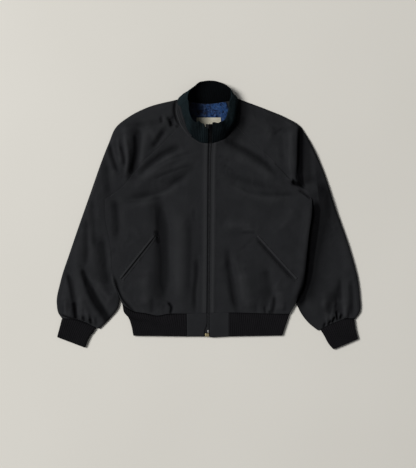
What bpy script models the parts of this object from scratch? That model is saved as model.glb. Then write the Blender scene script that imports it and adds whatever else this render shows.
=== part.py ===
"""Flight jacket laid flat, face up, with its zip closed.

+X is the wearer's left, +Y runs from the hem to the collar, +Z is up. The
origin is on the surface that the jacket lies on, under the middle of its
outline. The tables below are in millimetres; the meshes are in metres.

Each cloth piece is a wall. Its outer face is a grid of points spread between
the piece's edges, lifted to the height of the layer that it belongs to, and
its inner face is the same grid moved in by the cloth's thickness.
"""

from collections import namedtuple
from math import atan2, cos, radians, sin

import bmesh
import bpy
import numpy as np
from mathutils import Matrix

MM = 0.001
NAME = "flight_jacket"

# ---------------------------------------------------------------- sizes, mm

SHELL_WALL = 2.5        # shell and its lining, sewn together
KNIT_WALL = 2.5         # rib knit between its ribs
RIB_RAISE = 0.7         # a rib stands this far out of the knit
RIB_PITCH = 5.5
SEAM_GAP = 0.3          # between two pieces that are sewn together
LYING_GAP = 0.35        # between a piece and what lies on it

UPPER_TOP = 8.5         # outer face of the upper layer, where it has no fold
FOLD_MIDDLE = 4.25      # height at which the cloth turns at an outline
ROLL = 6.5              # width of the turn, seen from above
ROLL_STATIONS = (0.0, 1.2, 3.4, ROLL)
SLEEVE_ROLL_LEFT = 17.0     # the left sleeve slopes down into the gap beside the body
SLEEVE_PUFF = 3.0       # how far the middle of a sleeve stands above the fronts
PUFF_RISE = 50.0        # distance from a sleeve's edges over which it rises
DEEPEST_FOLD = 3.0      # no trough is deeper than this, so the layers stay apart
FLAT_BESIDE_ZIP = 24.0  # the cloth has no folds as near as this to the zip
COLLAR_STAND_OFF = 0.6  # the collar's seam edge stands this far in from the neck edge
RIB_CLEARANCE = 4.0     # the collar's ribs fade out over this height above the floor
BESIDE_SLEEVE = 0.8     # the sleeve's inner edge stands off the body's side

LINING_WALL = 1.0
LABEL_WALL = 0.5
WELT_GAP = 0.6          # more than LYING_GAP, for the folds that pass under it
WELT_WALL = 1.2
WELT_WIDTH = 6.6
WELT_SLIT = 2.0
WELT_STATIONS = 13      # points along a welt
WELT_ACROSS = 3         # points across it

TAPE_WALL = 0.8
TAPE_WIDTH = 14.0
CHAIN_WIDTH = 6.0
CHAIN_SINK = 0.2        # top of the chain below the cloth's outer face
TAPE_TOP = 0.97         # upper ends of the tapes, as a share of the collar's height
CHAIN_TOP = 0.985
ZIP_BODY_TOP = 200.0    # the zip's rows run straight from here to the neck seam
END_STRETCH = 0.01      # share of the neck seam that gives a direction at the collar's ends

SLIDER_LENGTH = 11.0
SLIDER_WIDTH = 9.0
SLIDER_FLANGE = 1.2     # thickness of its sides
SLIDER_DEPTH = 2.3      # how far its sides reach below the cloth's outer face
SLIDER_LIFT = 0.2       # underside of its plate above the cloth's outer face
SLIDER_PLATE = 1.5
SLIDER_AT = 0.885       # middle of the slider, as a share of the collar's height
NECK_FRONT_LENGTH = 98.0    # length of a front's neck edge
BRIDGE_LENGTH = 7.0
BRIDGE_WIDTH = 2.2
BRIDGE_HEIGHT = 3.4
BRIDGE_SUNK = 0.3       # how far the bridge's feet go into the plate
BRIDGE_HOLE = (4.4, 2.2)    # length and height of the way through under the bridge
PULL_LENGTH = 19.0
PULL_WIDTH = 6.0
PULL_THICK = 1.2
PULL_EYE = (3.4, 4.6)   # width and length of the window that the bridge stands in
PULL_EYE_BAR = 1.3      # bar that closes the window, held under the bridge
PULL_HOLE = (2.6, 4.0)
PULL_HOLE_AT = 14.6     # middle of the hole, from the hinge
HINGE_LIFT = 2.7        # hinge above the cloth's outer face

TAPE_END = -345.9       # lower end of the tapes
CHAIN_END = -335.5      # lower end of the chain
BOX_SIZE = (11.0, 9.6, 4.4)
BOX_MIDDLE = (-4.3, -351.2, 5.1)
PIN_SIZE = (3.8, 8.4, 2.0)
PIN_MIDDLE = (-0.9, -340.2, 7.0)
METAL_EDGE = 0.4        # rounding of the zip's metal pieces

# ------------------------------------------------- outlines, x and y in mm

# Outer edge of each sleeve, from the neck over the shoulder to the cuff.
SLEEVE_OUTER_LEFT = [(86, 340), (174, 307), (226, 285), (268, 259), (284, 236), (331, 141),
                     (373, 16), (415, -105), (438, -195), (443, -240), (442, -285), (428, -305)]
SLEEVE_OUTER_RIGHT = [(-90, 338), (-180, 314), (-233, 287), (-271, 256), (-292, 209), (-352, 45),
                      (-404, -105), (-433, -195), (-444, -258), (-439, -287), (-430, -301)]

# Raglan seams, from the neck to the underarm, on the front and on the back.
RAGLAN_FRONT_LEFT = [(81, 264), (139, 205), (195, 154), (226, 116), (247, 93), (303, 46)]
RAGLAN_FRONT_RIGHT = [(-81, 267), (-139, 205), (-195, 154), (-226, 116), (-239, 97), (-304, 45)]
RAGLAN_BACK_LEFT = [(52, 333), (132, 240), (214, 142), (303, 46)]
RAGLAN_BACK_RIGHT = [(-54, 332), (-132, 240), (-214, 142), (-304, 45)]

# Side of the body, from the underarm to the place where the sleeve leaves it,
# the sleeve's own edge from there to the cuff, and the body's to the hem.
SIDE_LEFT = [(303, 46), (304, 14), (295, -52), (284, -166), (280, -195), (256, -258)]
SIDE_RIGHT = [(-304, 45), (-303, 0), (-285, -101), (-280, -182), (-259, -246)]
UNDERARM_LEFT = [(256, -258), (271, -288), (292, -315), (320, -338)]
UNDERARM_RIGHT = [(-259, -246), (-263, -268), (-287, -301), (-319, -333)]
SIDE_END_LEFT = [(256, -258), (237, -289)]
SIDE_END_RIGHT = [(-259, -246), (-252, -262)]

# Lower edges of the sleeves, from the inner side to the outer side.
CUFF_SEAM_LEFT = [(320, -338), (352, -321), (375, -312), (405, -303), (428, -305)]
CUFF_SEAM_RIGHT = [(-319, -333), (-358, -316), (-389, -306), (-430, -301)]

# The cuffs' own edges, from the sleeve to the wrist.
CUFF_INNER_LEFT = [(328, -337), (337, -351), (352, -378), (365, -393)]
CUFF_OUTER_LEFT = [(427, -306), (429, -325), (438, -362)]
CUFF_INNER_RIGHT = [(-330, -330), (-348, -357), (-361, -388)]
CUFF_OUTER_RIGHT = [(-429, -303), (-434, -323), (-443, -357)]

# Neck edges, from the zip to the raglan seam and from there to the shoulder.
NECK_FRONT_LEFT = [(10.8, 209), (29, 215), (47, 223), (64, 240), (81, 264)]
NECK_FRONT_RIGHT = [(-0.4, 209), (-23, 212), (-38, 220), (-58, 236), (-81, 267)]
NECK_SLEEVE_LEFT = [(81, 264), (85, 300), (86, 340)]
NECK_SLEEVE_RIGHT = [(-81, 267), (-92, 305), (-90, 338)]
NECK_SLEEVE_BACK_LEFT = [(52, 333), (70, 336), (86, 340)]
NECK_SLEEVE_BACK_RIGHT = [(-54, 332), (-72, 334), (-90, 338)]
NECK_BACK = [(-54, 332), (0, 326), (52, 333)]

# Lower edges of the fronts, from the zip to the side, and of the back.
HEM_LEFT = [(3.0, -286), (60, -285), (180, -288), (237, -289)]
HEM_RIGHT = [(-5.0, -286), (-64, -288), (-119, -289), (-150, -294), (-184, -287), (-216, -282),
             (-252, -262)]
HEM_BACK = [(-252, -262), (-216, -282), (0, -288), (237, -289)]

# The rib band's sides, and the corners where it meets the tabs at the zip.
RIB_SIDE_LEFT = [(237, -289), (226, -322), (216, -352)]
RIB_SIDE_RIGHT = [(-252, -262), (-247, -285), (-234, -301), (-226, -323), (-220, -353)]
RIB_BOTTOM = -355.0
TAB_SIDE_LEFT = 60.0
TAB_SIDE_RIGHT = -64.0
TAB_BOTTOM_LEFT = [(4.6, -358), (60, -355)]
TAB_BOTTOM_RIGHT = [(-12.6, -355), (-64, -355)]
TAB_ZIP_SIDE_LEFT = [(3.0, -286), (3.4, -330), (4.6, -358)]
TAB_ZIP_SIDE_RIGHT = [(-5.0, -286), (-5.8, -322), (-11.6, -338), (-12.6, -355)]

# Pocket mouths, from their upper ends to their lower ends.
POCKET_LEFT = ((140, -63), (255, -190))
POCKET_RIGHT = ((-155, -62), (-255, -188))

# Lining inside the neck, and the label that lies on it.
LINING_TOP = [(-50, 329.5), (0, 324.5), (50, 330.5)]
LINING_SIDE_LEFT = [(50, 330.5), (66, 285), (64, 195)]
LINING_SIDE_RIGHT = [(-50, 329.5), (-66, 285), (-62, 195)]
LABEL_X = (-35.0, 36.0)
LABEL_Y = (257.0, 285.0)

# The zip's middle and half the gap between the two fronts, up from the hem.
ZipStation = namedtuple("ZipStation", "y middle half_gap")
ZIP_STATIONS = [
    ZipStation(-337, -1.2, 4.2),
    ZipStation(-286, -1.0, 4.0),
    ZipStation(-103, 1.0, 4.2),
    ZipStation(117, 2.5, 4.5),
    ZipStation(185, 3.6, 4.9),
    ZipStation(209, 5.2, 5.6),
]

# The collar band's top edge, by its share of the way round the neck seam from
# the zip's left side. The front leans in over the neck, the sides stand, and
# the back lies down behind it. bulge is how far the band bows outward.
CollarSection = namedtuple("CollarSection", "share top_x top_y top_z bulge")
COLLAR_SECTIONS = [
    CollarSection(0.000, 11.0, 263.0, 40.0, 2.0),
    CollarSection(0.040, 26.0, 264.0, 42.0, 2.0),
    CollarSection(0.085, 43.0, 271.0, 43.0, 3.0),
    CollarSection(0.125, 53.0, 285.0, 43.0, 6.0),
    CollarSection(0.175, 57.0, 303.0, 40.0, 8.5),
    CollarSection(0.250, 60.0, 326.0, 38.0, 8.5),
    CollarSection(0.325, 65.0, 350.0, 36.0, 4.0),
    CollarSection(0.360, 61.0, 367.0, 31.0, 2.5),
    CollarSection(0.400, 49.0, 381.0, 24.0, 1.0),
    CollarSection(0.450, 28.0, 389.0, 15.0, 0.0),
    CollarSection(0.500, 4.0, 392.5, 12.0, 0.0),
    CollarSection(0.550, -18.0, 389.5, 15.0, 0.0),
    CollarSection(0.600, -37.0, 381.0, 24.0, 1.0),
    CollarSection(0.640, -52.0, 366.0, 36.0, 3.0),
    CollarSection(0.675, -60.0, 349.0, 47.0, 4.0),
    CollarSection(0.750, -58.0, 325.0, 52.0, 4.0),
    CollarSection(0.825, -55.0, 298.0, 50.0, 3.0),
    CollarSection(0.875, -48.0, 276.0, 47.0, 2.0),
    CollarSection(0.920, -36.0, 267.0, 44.0, 2.0),
    CollarSection(0.955, -21.0, 264.0, 42.0, 2.0),
    CollarSection(1.000, -0.6, 262.5, 40.0, 2.0),
]

# The largest folds, from one end to the other. bow is how far the middle of
# the fold stands to the left of the straight line between its ends, and
# height is above the flat cloth, or below it where it is negative.
Fold = namedtuple("Fold", "x0 y0 x1 y1 bow half_width height")
FOLDS_FRONT_LEFT = [
    Fold(48, 215, 184, 128, 6, 16, -2.2),
    Fold(62, 178, 205, 92, 8, 26, 4.6),
    Fold(20, 141, 239, 67, -10, 20, -2.4),
    Fold(45, 92, 235, 30, -8, 30, 3.6),
    Fold(40, -34, 142, -38, 6, 22, 3.2),
    Fold(262, 24, 200, -48, 0, 20, 2.6),
    Fold(55, -160, 80, -284, 6, 22, -2.2),
    Fold(100, -150, 122, -284, 0, 28, 4.2),
    Fold(150, -205, 172, -288, 4, 24, -2.0),
    Fold(205, -215, 214, -286, 0, 26, 3.4),
]
FOLDS_FRONT_RIGHT = [
    Fold(-73, 217, -192, 126, -6, 17, -2.4),
    Fold(-78, 182, -205, 92, -8, 26, 4.8),
    Fold(-54, 135, -241, 46, 10, 20, -2.4),
    Fold(-70, 96, -232, 26, 6, 28, 3.4),
    Fold(-72, 46, -76, -270, -2, 30, 3.8),
    Fold(-137, 45, -116, -275, 3, 26, -3.2),
    Fold(-186, -170, -184, -278, 0, 26, 3.6),
]
FOLDS_SLEEVE_LEFT = [
    Fold(240, 268, 239, 108, 5, 22, 5.0),
    Fold(271, 256, 263, 92, -3, 17, -4.2),
    Fold(296, 214, 300, 90, 6, 24, 2.8),
    Fold(110, 300, 196, 196, 8, 26, 3.0),
    Fold(330, 78, 356, -80, 4, 30, 2.6),
    Fold(381, -190, 388, -306, -4, 14, -3.6),
    Fold(336, -236, 352, -320, 0, 14, 3.2),
    Fold(402, -258, 404, -304, 0, 12, 3.4),
    Fold(368, -262, 366, -314, 0, 11, 3.0),
]
FOLDS_SLEEVE_RIGHT = [
    Fold(-176, 262, -205, 122, -5, 20, 3.6),
    Fold(-205, 265, -224, 104, 3, 20, -4.6),
    Fold(-250, 250, -243, 98, 5, 20, 5.0),
    Fold(-110, 296, -160, 214, -6, 24, 2.4),
    Fold(-330, 70, -352, -86, -4, 30, 2.6),
    Fold(-363, -176, -305, -300, -6, 14, -3.8),
    Fold(-406, -160, -389, -302, 3, 14, -3.2),
    Fold(-374, -226, -360, -312, 0, 14, 3.4),
    Fold(-420, -244, -414, -300, 0, 11, 3.2),
]

# ------------------------------------------------- number of grid stretches

RAGLAN_ROWS = 8
BESIDE_ROWS = 9         # rows beside each other on the body and the sleeve
SIDE_ROWS = BESIDE_ROWS + 1
UNDERARM_ROWS = BESIDE_ROWS + 3
FRONT_COLUMNS = 16
SLEEVE_COLUMNS = 12
SLEEVE_BACK_COLUMNS = 3
BACK_COLUMNS = 7
KNIT_BAND_ROWS = 2
COLLAR_ROWS = (0.0, 0.07, 0.5, 1.0)     # shares of the collar's height
CURVE_POINTS = 400      # short lines that a smooth curve is made of
CURVE_SAMPLES = 90      # points read along a curve to measure distances from it
UNDERARM_AT = 0.42      # share of a front's height that lies above the underarm
SIDE_END_AT = BESIDE_ROWS / SIDE_ROWS           # share of the body's side beside the sleeve
UNDERARM_END_AT = BESIDE_ROWS / UNDERARM_ROWS   # share of the sleeve's edge beside the body

# ------------------------------------------------------------------ colours

Finish = namedtuple("Finish", "colour roughness metallic")
SHELL = Finish((0.016, 0.0165, 0.018), 0.72, 0.0)
KNIT = Finish((0.011, 0.0105, 0.012), 0.92, 0.0)
COLLAR_KNIT = Finish((0.010, 0.0135, 0.015), 0.92, 0.0)
LINING = Finish((0.03, 0.08, 0.26), 0.38, 0.0)
LABEL = Finish((0.72, 0.68, 0.55), 0.75, 0.0)
TAPE = Finish((0.012, 0.012, 0.013), 0.85, 0.0)
CHAIN = Finish((0.02, 0.02, 0.022), 0.45, 0.6)
SLIDER_DARK = Finish((0.035, 0.035, 0.037), 0.5, 0.6)
NICKEL = Finish((0.62, 0.61, 0.58), 0.3, 1.0)
BRASS = Finish((0.55, 0.45, 0.24), 0.35, 1.0)


# ------------------------------------------------------- curves and patches

def smooth(places, rows, at):
    """Rows of values, one at each of the places, read smoothly at other places."""
    slopes = np.gradient(rows, places, axis=0)
    span = np.clip(np.searchsorted(places, at, side="right") - 1, 0, len(places) - 2)
    length = (places[span + 1] - places[span])[:, None]
    s = (at - places[span])[:, None] / length
    return ((2 * s**3 - 3 * s**2 + 1) * rows[span] + (s**3 - 2 * s**2 + s) * length * slopes[span]
            + (3 * s**2 - 2 * s**3) * rows[span + 1] + (s**3 - s**2) * length * slopes[span + 1])


def lengths_along(points):
    return np.r_[0.0, np.cumsum(np.linalg.norm(np.diff(points, axis=0), axis=1))]


def chain_of_lines(points):
    """Straight lines through the points, as a function of the share of their length."""
    knots = np.array(points, float)
    walked = lengths_along(knots)

    def at(share):
        distance = np.asarray(share, float) * walked[-1]
        return np.stack([np.interp(distance, walked, axis) for axis in knots.T], axis=-1)

    return at


def spline(points):
    """Smooth curve through the points, as a function of the share of its length."""
    knots = np.array(points, float)
    reach = lengths_along(knots)
    return chain_of_lines(smooth(reach, knots, np.linspace(0.0, reach[-1], CURVE_POINTS)))


def sampled(curve):
    """Evenly spaced points along a curve, to measure distances from."""
    return curve(np.linspace(0.0, 1.0, CURVE_SAMPLES))


def joined(first, second, at_share):
    """Two curves end to end; the first takes at_share of the whole."""
    def at(share):
        share = np.asarray(share, float)
        early = first(np.clip(share / at_share, 0.0, 1.0))
        late = second(np.clip((share - at_share) / (1.0 - at_share), 0.0, 1.0))
        return np.where((share <= at_share)[..., None], early, late)

    return at


def patch(start, end, top, bottom, u, v):
    """Points spread between four edges: start and end run with u, top and bottom with v."""
    u, v = u[..., None], v[..., None]
    corners = ((1 - u) * ((1 - v) * top(0.0) + v * top(1.0))
               + u * ((1 - v) * bottom(0.0) + v * bottom(1.0)))
    sides = (1 - v) * start(u[..., 0]) + v * end(u[..., 0])
    ends = (1 - u) * top(v[..., 0]) + u * bottom(v[..., 0])
    return sides + ends - corners


def row_shares(upper_rows, lower_rows):
    """Shares of the way down, with one row exactly at the underarm."""
    return np.r_[np.linspace(0, UNDERARM_AT, upper_rows + 1),
                 np.linspace(UNDERARM_AT, 1, lower_rows + 1)[1:]]


def column_shares(widths, columns, roll_at_start, roll_at_end):
    """Shares of the way across each row, with a column at each station of a turned edge."""
    shares = []
    for width in widths:
        stations = np.array(ROLL_STATIONS) / width
        first = stations if roll_at_start else np.zeros(1)
        last = 1 - stations[::-1] if roll_at_end else np.ones(1)
        middle = np.linspace(first[-1], last[0], columns + 1)[1:-1]
        shares.append(np.r_[first, middle, last])
    return np.array(shares)


def grid(start, end, top, bottom, rows, columns, roll_at_start=False, roll_at_end=False):
    """Plan points of a piece, row by row."""
    widths = np.linalg.norm(end(rows) - start(rows), axis=-1)
    v = column_shares(widths, columns, roll_at_start, roll_at_end)
    u = np.repeat(rows[:, None], v.shape[1], axis=1)
    return patch(start, end, top, bottom, u, v)


# ----------------------------------------------------------- heights, folds

def distance_to(line, points):
    """Distance in plan from each point to a chain of straight lines."""
    start, step = line[:-1], np.diff(line, axis=0)
    kept = (step**2).sum(-1) > 1e-6
    start, step = start[kept], step[kept]
    offset = points[..., None, :] - start
    share = np.clip((offset * step).sum(-1) / (step**2).sum(-1), 0, 1)
    return np.linalg.norm(offset - share[..., None] * step, axis=-1).min(-1)


def turned(points, edges):
    """0 on a turned edge, rising to 1 as a quarter ellipse; edges pairs a curve with its width."""
    rise = np.ones(points.shape[:-1])
    for curve, width in edges:
        near = np.clip(distance_to(sampled(curve), points) / width, 0, 1)
        rise = rise * np.sqrt(1 - (1 - near)**2)
    return rise


def fold_heights(points, folds):
    """Sum of the folds' heights: soft ridges and troughs that fade at their ends and at the zip."""
    total = np.zeros(points.shape[:-1])
    for fold in folds:
        start, end = np.array([fold.x0, fold.y0]), np.array([fold.x1, fold.y1])
        run = end - start
        side = np.array([-run[1], run[0]]) / np.linalg.norm(run)
        share = np.clip(((points - start) @ run) / (run @ run), 0, 1)
        middle = start + share[..., None] * run + (fold.bow * 4 * share * (1 - share))[..., None] * side
        away = np.linalg.norm(points - middle, axis=-1) / fold.half_width
        fade = np.clip(4 * share, 0.35, 1) * np.clip(4 * (1 - share), 0.35, 1)
        total += fold.height * fade * np.exp(-(1.35 * away)**2)
    beside_zip = np.clip((np.abs(points[..., 0]) - FLAT_BESIDE_ZIP) / FLAT_BESIDE_ZIP, 0, 1)
    return np.maximum(total, -DEEPEST_FOLD) * beside_zip


def upper_height(points, edges, folds=(), puff=0.0):
    """Outer face of the upper layer."""
    rise = turned(points, edges)
    start = FOLD_MIDDLE + SEAM_GAP / 2
    return start + (UPPER_TOP - start + puff + fold_heights(points, folds)) * rise


def lower_height(points, edges):
    """Outer face of the lower layer, which lies on the floor between its turned edges."""
    return (FOLD_MIDDLE - SEAM_GAP / 2) * (1 - turned(points, edges))


def raise_to(points, heights):
    return np.concatenate([points, heights[..., None]], axis=-1)


# -------------------------------------------------------------- cloth walls

def square_to(edge, inside):
    """Unit plan vectors square to an edge, pointing into the piece."""
    run = np.gradient(edge[:, :2], axis=0)
    square = np.c_[-run[:, 1], run[:, 0]]
    square /= np.maximum(np.linalg.norm(square, axis=1), 1e-9)[:, None]
    towards = np.sign((square * (inside - edge)[:, :2]).sum(1))
    return np.c_[square * towards[:, None], np.zeros(len(edge))]


def edge_slices(points):
    """Each edge of a grid: its place, and the row or column next to it."""
    return {"top": ((0, slice(None)), (1, slice(None))),
            "bottom": ((-1, slice(None)), (-2, slice(None))),
            "start": ((slice(None), 0), (slice(None), 1)),
            "end": ((slice(None), -1), (slice(None), -2))}


def draw_in(points, edges, gap=SEAM_GAP / 2):
    """The plan grid with the named edges drawn in, so that a seam has its gap."""
    drawn = points.copy()
    for name in edges:
        edge, inside = edge_slices(points)[name]
        drawn[edge] = drawn[edge] + gap * square_to(points[edge], points[inside])[:, :2]
    return drawn


def outward(points, facing_down=False):
    """Unit normals of a grid of points, from the steps between its rows and columns."""
    normal = np.cross(np.gradient(points, axis=1), np.gradient(points, axis=0))
    normal /= np.linalg.norm(normal, axis=-1)[..., None]
    middle = normal[normal.shape[0] // 2, 1:4, 2].sum()
    return normal if (middle < 0) == facing_down else -normal


def thicken(outer, wall, seams=(), turned_edges=(), facing_down=False):
    """Inner face of a wall. Its edge faces stand upright at seams and lie level at turned edges."""
    normal = outward(outer, facing_down)
    for name in seams:
        edge, inside = edge_slices(outer)[name]
        square = square_to(outer[edge], outer[inside])
        flat = normal[edge] - (normal[edge] * square).sum(1)[:, None] * square
        normal[edge] = flat / np.linalg.norm(flat, axis=1)[:, None]
    for name, rows in turned_edges:
        edge, inside = edge_slices(outer)[name]
        normal[edge][rows] = -square_to(outer[edge], outer[inside])[rows]
    return outer - wall * normal


def wall_mesh(outer, inner):
    """Closed mesh between two grids of the same size."""
    rows, columns = outer.shape[:2]
    mesh = bmesh.new()
    faces = [[[mesh.verts.new(point * MM) for point in row] for row in side] for side in (outer, inner)]
    ring = ([(0, c) for c in range(columns)] + [(r, columns - 1) for r in range(1, rows)]
            + [(rows - 1, c) for c in range(columns - 2, -1, -1)] + [(r, 0) for r in range(rows - 2, 0, -1)])
    for side in faces:
        for r in range(rows - 1):
            for c in range(columns - 1):
                mesh.faces.new([side[r][c], side[r][c + 1], side[r + 1][c + 1], side[r + 1][c]])
    for (r0, c0), (r1, c1) in zip(ring, ring[1:] + ring[:1]):
        mesh.faces.new([faces[0][r0][c0], faces[0][r1][c1], faces[1][r1][c1], faces[1][r0][c0]])
    bmesh.ops.recalc_face_normals(mesh, faces=mesh.faces)
    return mesh


# ------------------------------------------------------------------ objects

def finish_material(name, finish):
    material = bpy.data.materials.new(name)
    material.use_nodes = True
    shader = material.node_tree.nodes["Principled BSDF"]
    shader.inputs["Base Color"].default_value = (*finish.colour, 1.0)
    shader.inputs["Roughness"].default_value = finish.roughness
    shader.inputs["Metallic"].default_value = finish.metallic
    material.diffuse_color = (*finish.colour, 1.0)
    return material


def add_object(name, data, finish, collection):
    piece = bpy.data.objects.new(name, data)
    data.materials.append(finish_material(name, finish))
    collection.objects.link(piece)
    return piece


def add_wall(name, outer, inner, finish, collection):
    mesh = bpy.data.meshes.new(name)
    shape = wall_mesh(outer, inner)
    shape.to_mesh(mesh)
    shape.free()
    mesh.shade_smooth()
    mesh.set_sharp_from_angle(angle=radians(45))
    return add_object(name, mesh, finish, collection)


# ------------------------------------------------------------ body of cloth

Side = namedtuple("Side", "sign raglan raglan_back side side_end underarm outer cuff_seam cuff_inner "
                          "cuff_outer neck_front neck_sleeve neck_sleeve_back hem front_folds "
                          "sleeve_folds sleeve_roll")
LEFT = Side(1, RAGLAN_FRONT_LEFT, RAGLAN_BACK_LEFT, SIDE_LEFT, SIDE_END_LEFT,
            UNDERARM_LEFT, SLEEVE_OUTER_LEFT, CUFF_SEAM_LEFT, CUFF_INNER_LEFT, CUFF_OUTER_LEFT,
            NECK_FRONT_LEFT, NECK_SLEEVE_LEFT, NECK_SLEEVE_BACK_LEFT, HEM_LEFT, FOLDS_FRONT_LEFT,
            FOLDS_SLEEVE_LEFT, SLEEVE_ROLL_LEFT)
RIGHT = Side(-1, RAGLAN_FRONT_RIGHT, RAGLAN_BACK_RIGHT, SIDE_RIGHT, SIDE_END_RIGHT, UNDERARM_RIGHT,
             SLEEVE_OUTER_RIGHT, CUFF_SEAM_RIGHT, CUFF_INNER_RIGHT, CUFF_OUTER_RIGHT,
             NECK_FRONT_RIGHT, NECK_SLEEVE_RIGHT, NECK_SLEEVE_BACK_RIGHT, HEM_RIGHT,
             FOLDS_FRONT_RIGHT, FOLDS_SLEEVE_RIGHT, ROLL)


def body_side(side):
    """Side edge of the body, from the underarm to the hem."""
    return joined(spline(side.side), spline(side.side_end), SIDE_END_AT)


def beside(points, distance):
    """The points of a line moved sideways in plan by a distance."""
    line = np.array(points, float)
    run = np.gradient(line, axis=0)
    square = np.c_[-run[:, 1], run[:, 0]] / np.linalg.norm(run, axis=1)[:, None]
    return line + distance * square


def sleeve_inner(side):
    """Inner edge of the sleeve: along the body's side, and then by itself to the cuff."""
    along_body = beside(side.side, side.sign * BESIDE_SLEEVE)
    return joined(spline(along_body), spline(np.r_[along_body[-1:], side.underarm[1:]]), UNDERARM_END_AT)


def zip_edge(side):
    """Edge of a front beside the zip, from the neck to the hem."""
    stations = [s for s in ZIP_STATIONS if s.y >= side.hem[0][1]]
    return spline([(s.middle + side.sign * s.half_gap, s.y) for s in reversed(stations)])


def front_plan(side):
    """Plan of a front, from its zip edge to its side seam, and from the neck to the hem."""
    edge = joined(spline(side.raglan), body_side(side), UNDERARM_AT)
    return grid(zip_edge(side), edge, spline(side.neck_front), spline(side.hem),
                row_shares(RAGLAN_ROWS, SIDE_ROWS), FRONT_COLUMNS, roll_at_end=True)


def front_height(points, side):
    return upper_height(points, [(body_side(side), ROLL)], side.front_folds)


def make_front(name, side, collection):
    plan = draw_in(front_plan(side), ("top", "end", "bottom"))
    outer = raise_to(plan, front_height(plan, side))
    inner = thicken(outer, SHELL_WALL, ("start", "top", "bottom", "end"),
                    [("end", slice(RAGLAN_ROWS, None))])
    return add_wall(name, outer, inner, SHELL, collection)


def make_back(name, collection):
    edges = [joined(spline(side.raglan_back), body_side(side), UNDERARM_AT) for side in (RIGHT, LEFT)]
    plan = grid(*edges, spline(NECK_BACK), spline(HEM_BACK), row_shares(RAGLAN_ROWS, SIDE_ROWS),
                BACK_COLUMNS, roll_at_start=True, roll_at_end=True)
    plan = draw_in(plan, ("top", "bottom", "start", "end"))
    outer = raise_to(plan, lower_height(plan, [(body_side(side), ROLL) for side in (LEFT, RIGHT)]))
    below = slice(RAGLAN_ROWS, None)
    inner = thicken(outer, SHELL_WALL, ("top", "bottom", "start", "end"),
                    [("start", below), ("end", below)], facing_down=True)
    return add_wall(name, outer, inner, SHELL, collection)


def sleeve_edges(side):
    """The sleeve's turned edges: its outer one, and its inner one below the underarm."""
    return spline(side.outer), sleeve_inner(side)


def sleeve_puff(points, side):
    """A broad rise along the middle of the sleeve, none at its seams."""
    outer, inner = sleeve_edges(side)
    from_outer = distance_to(sampled(outer), points)
    inner_line = np.r_[sampled(spline(side.raglan)), sampled(inner)]
    from_inner = distance_to(inner_line, points)
    from_cuff = distance_to(sampled(spline(side.cuff_seam)), points)
    from_neck = distance_to(sampled(spline(side.neck_sleeve)), points)
    from_end = np.minimum(from_cuff, from_neck)
    middle = np.minimum(from_outer, from_inner) / PUFF_RISE
    return SLEEVE_PUFF * np.clip(middle, 0, 1)**0.8 * np.clip(from_end / PUFF_RISE, 0, 1)


def sleeve_plans(side):
    """Plans of the sleeve's upper and lower layers, from its inner edge to its outer one."""
    outer_edge, inner_edge = sleeve_edges(side)
    rows = row_shares(RAGLAN_ROWS, UNDERARM_ROWS)
    cuff = spline(side.cuff_seam)
    upper = grid(joined(spline(side.raglan), inner_edge, UNDERARM_AT), outer_edge,
                 spline(side.neck_sleeve), cuff, rows, SLEEVE_COLUMNS, True, True)
    lower = grid(joined(spline(side.raglan_back), inner_edge, UNDERARM_AT), outer_edge,
                 spline(side.neck_sleeve_back), cuff, rows, SLEEVE_BACK_COLUMNS, True, True)
    return upper, lower


def sleeve_height(points, side):
    outer_edge, inner_edge = sleeve_edges(side)
    edges = [(outer_edge, ROLL), (inner_edge, side.sleeve_roll)]
    return upper_height(points, edges, side.sleeve_folds + side.front_folds, sleeve_puff(points, side))


def make_sleeve(name, side, collection):
    """One sheet: the upper layer, the turn at the outer edge, and the lower layer."""
    upper, lower = [draw_in(plan, ("start", "top", "bottom")) for plan in sleeve_plans(side)]
    edges = [(edge, ROLL) for edge in sleeve_edges(side)]
    upper = raise_to(upper, sleeve_height(upper, side))
    lower = raise_to(lower, lower_height(lower, edges))
    sheet = np.concatenate([upper, lower[:, -2::-1]], axis=1)
    below = slice(RAGLAN_ROWS, None)
    inner = thicken(sheet, SHELL_WALL, ("top", "bottom", "start", "end"),
                    [("start", below), ("end", below)])
    return add_wall(name, sheet, inner, SHELL, collection)


# ---------------------------------------------------------------- rib bands

def ribbed(outer, inner, first, last):
    """Every second column of the outer face raised, from column first to column last."""
    away = outer - inner
    away /= np.linalg.norm(away, axis=-1)[..., None]
    raised = outer.copy()
    raised[:, first + 1:last:2] += RIB_RAISE * away[:, first + 1:last:2]
    return raised


def rib_columns(length):
    """Two columns for each rib along a length."""
    return 2 * max(1, round(length / RIB_PITCH))


def band_plan(start, end, top, bottom, columns, roll_at_start=False, roll_at_end=False):
    rows = np.linspace(0, 1, KNIT_BAND_ROWS + 1)
    return grid(start, end, top, bottom, rows, columns, roll_at_start, roll_at_end)


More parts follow.
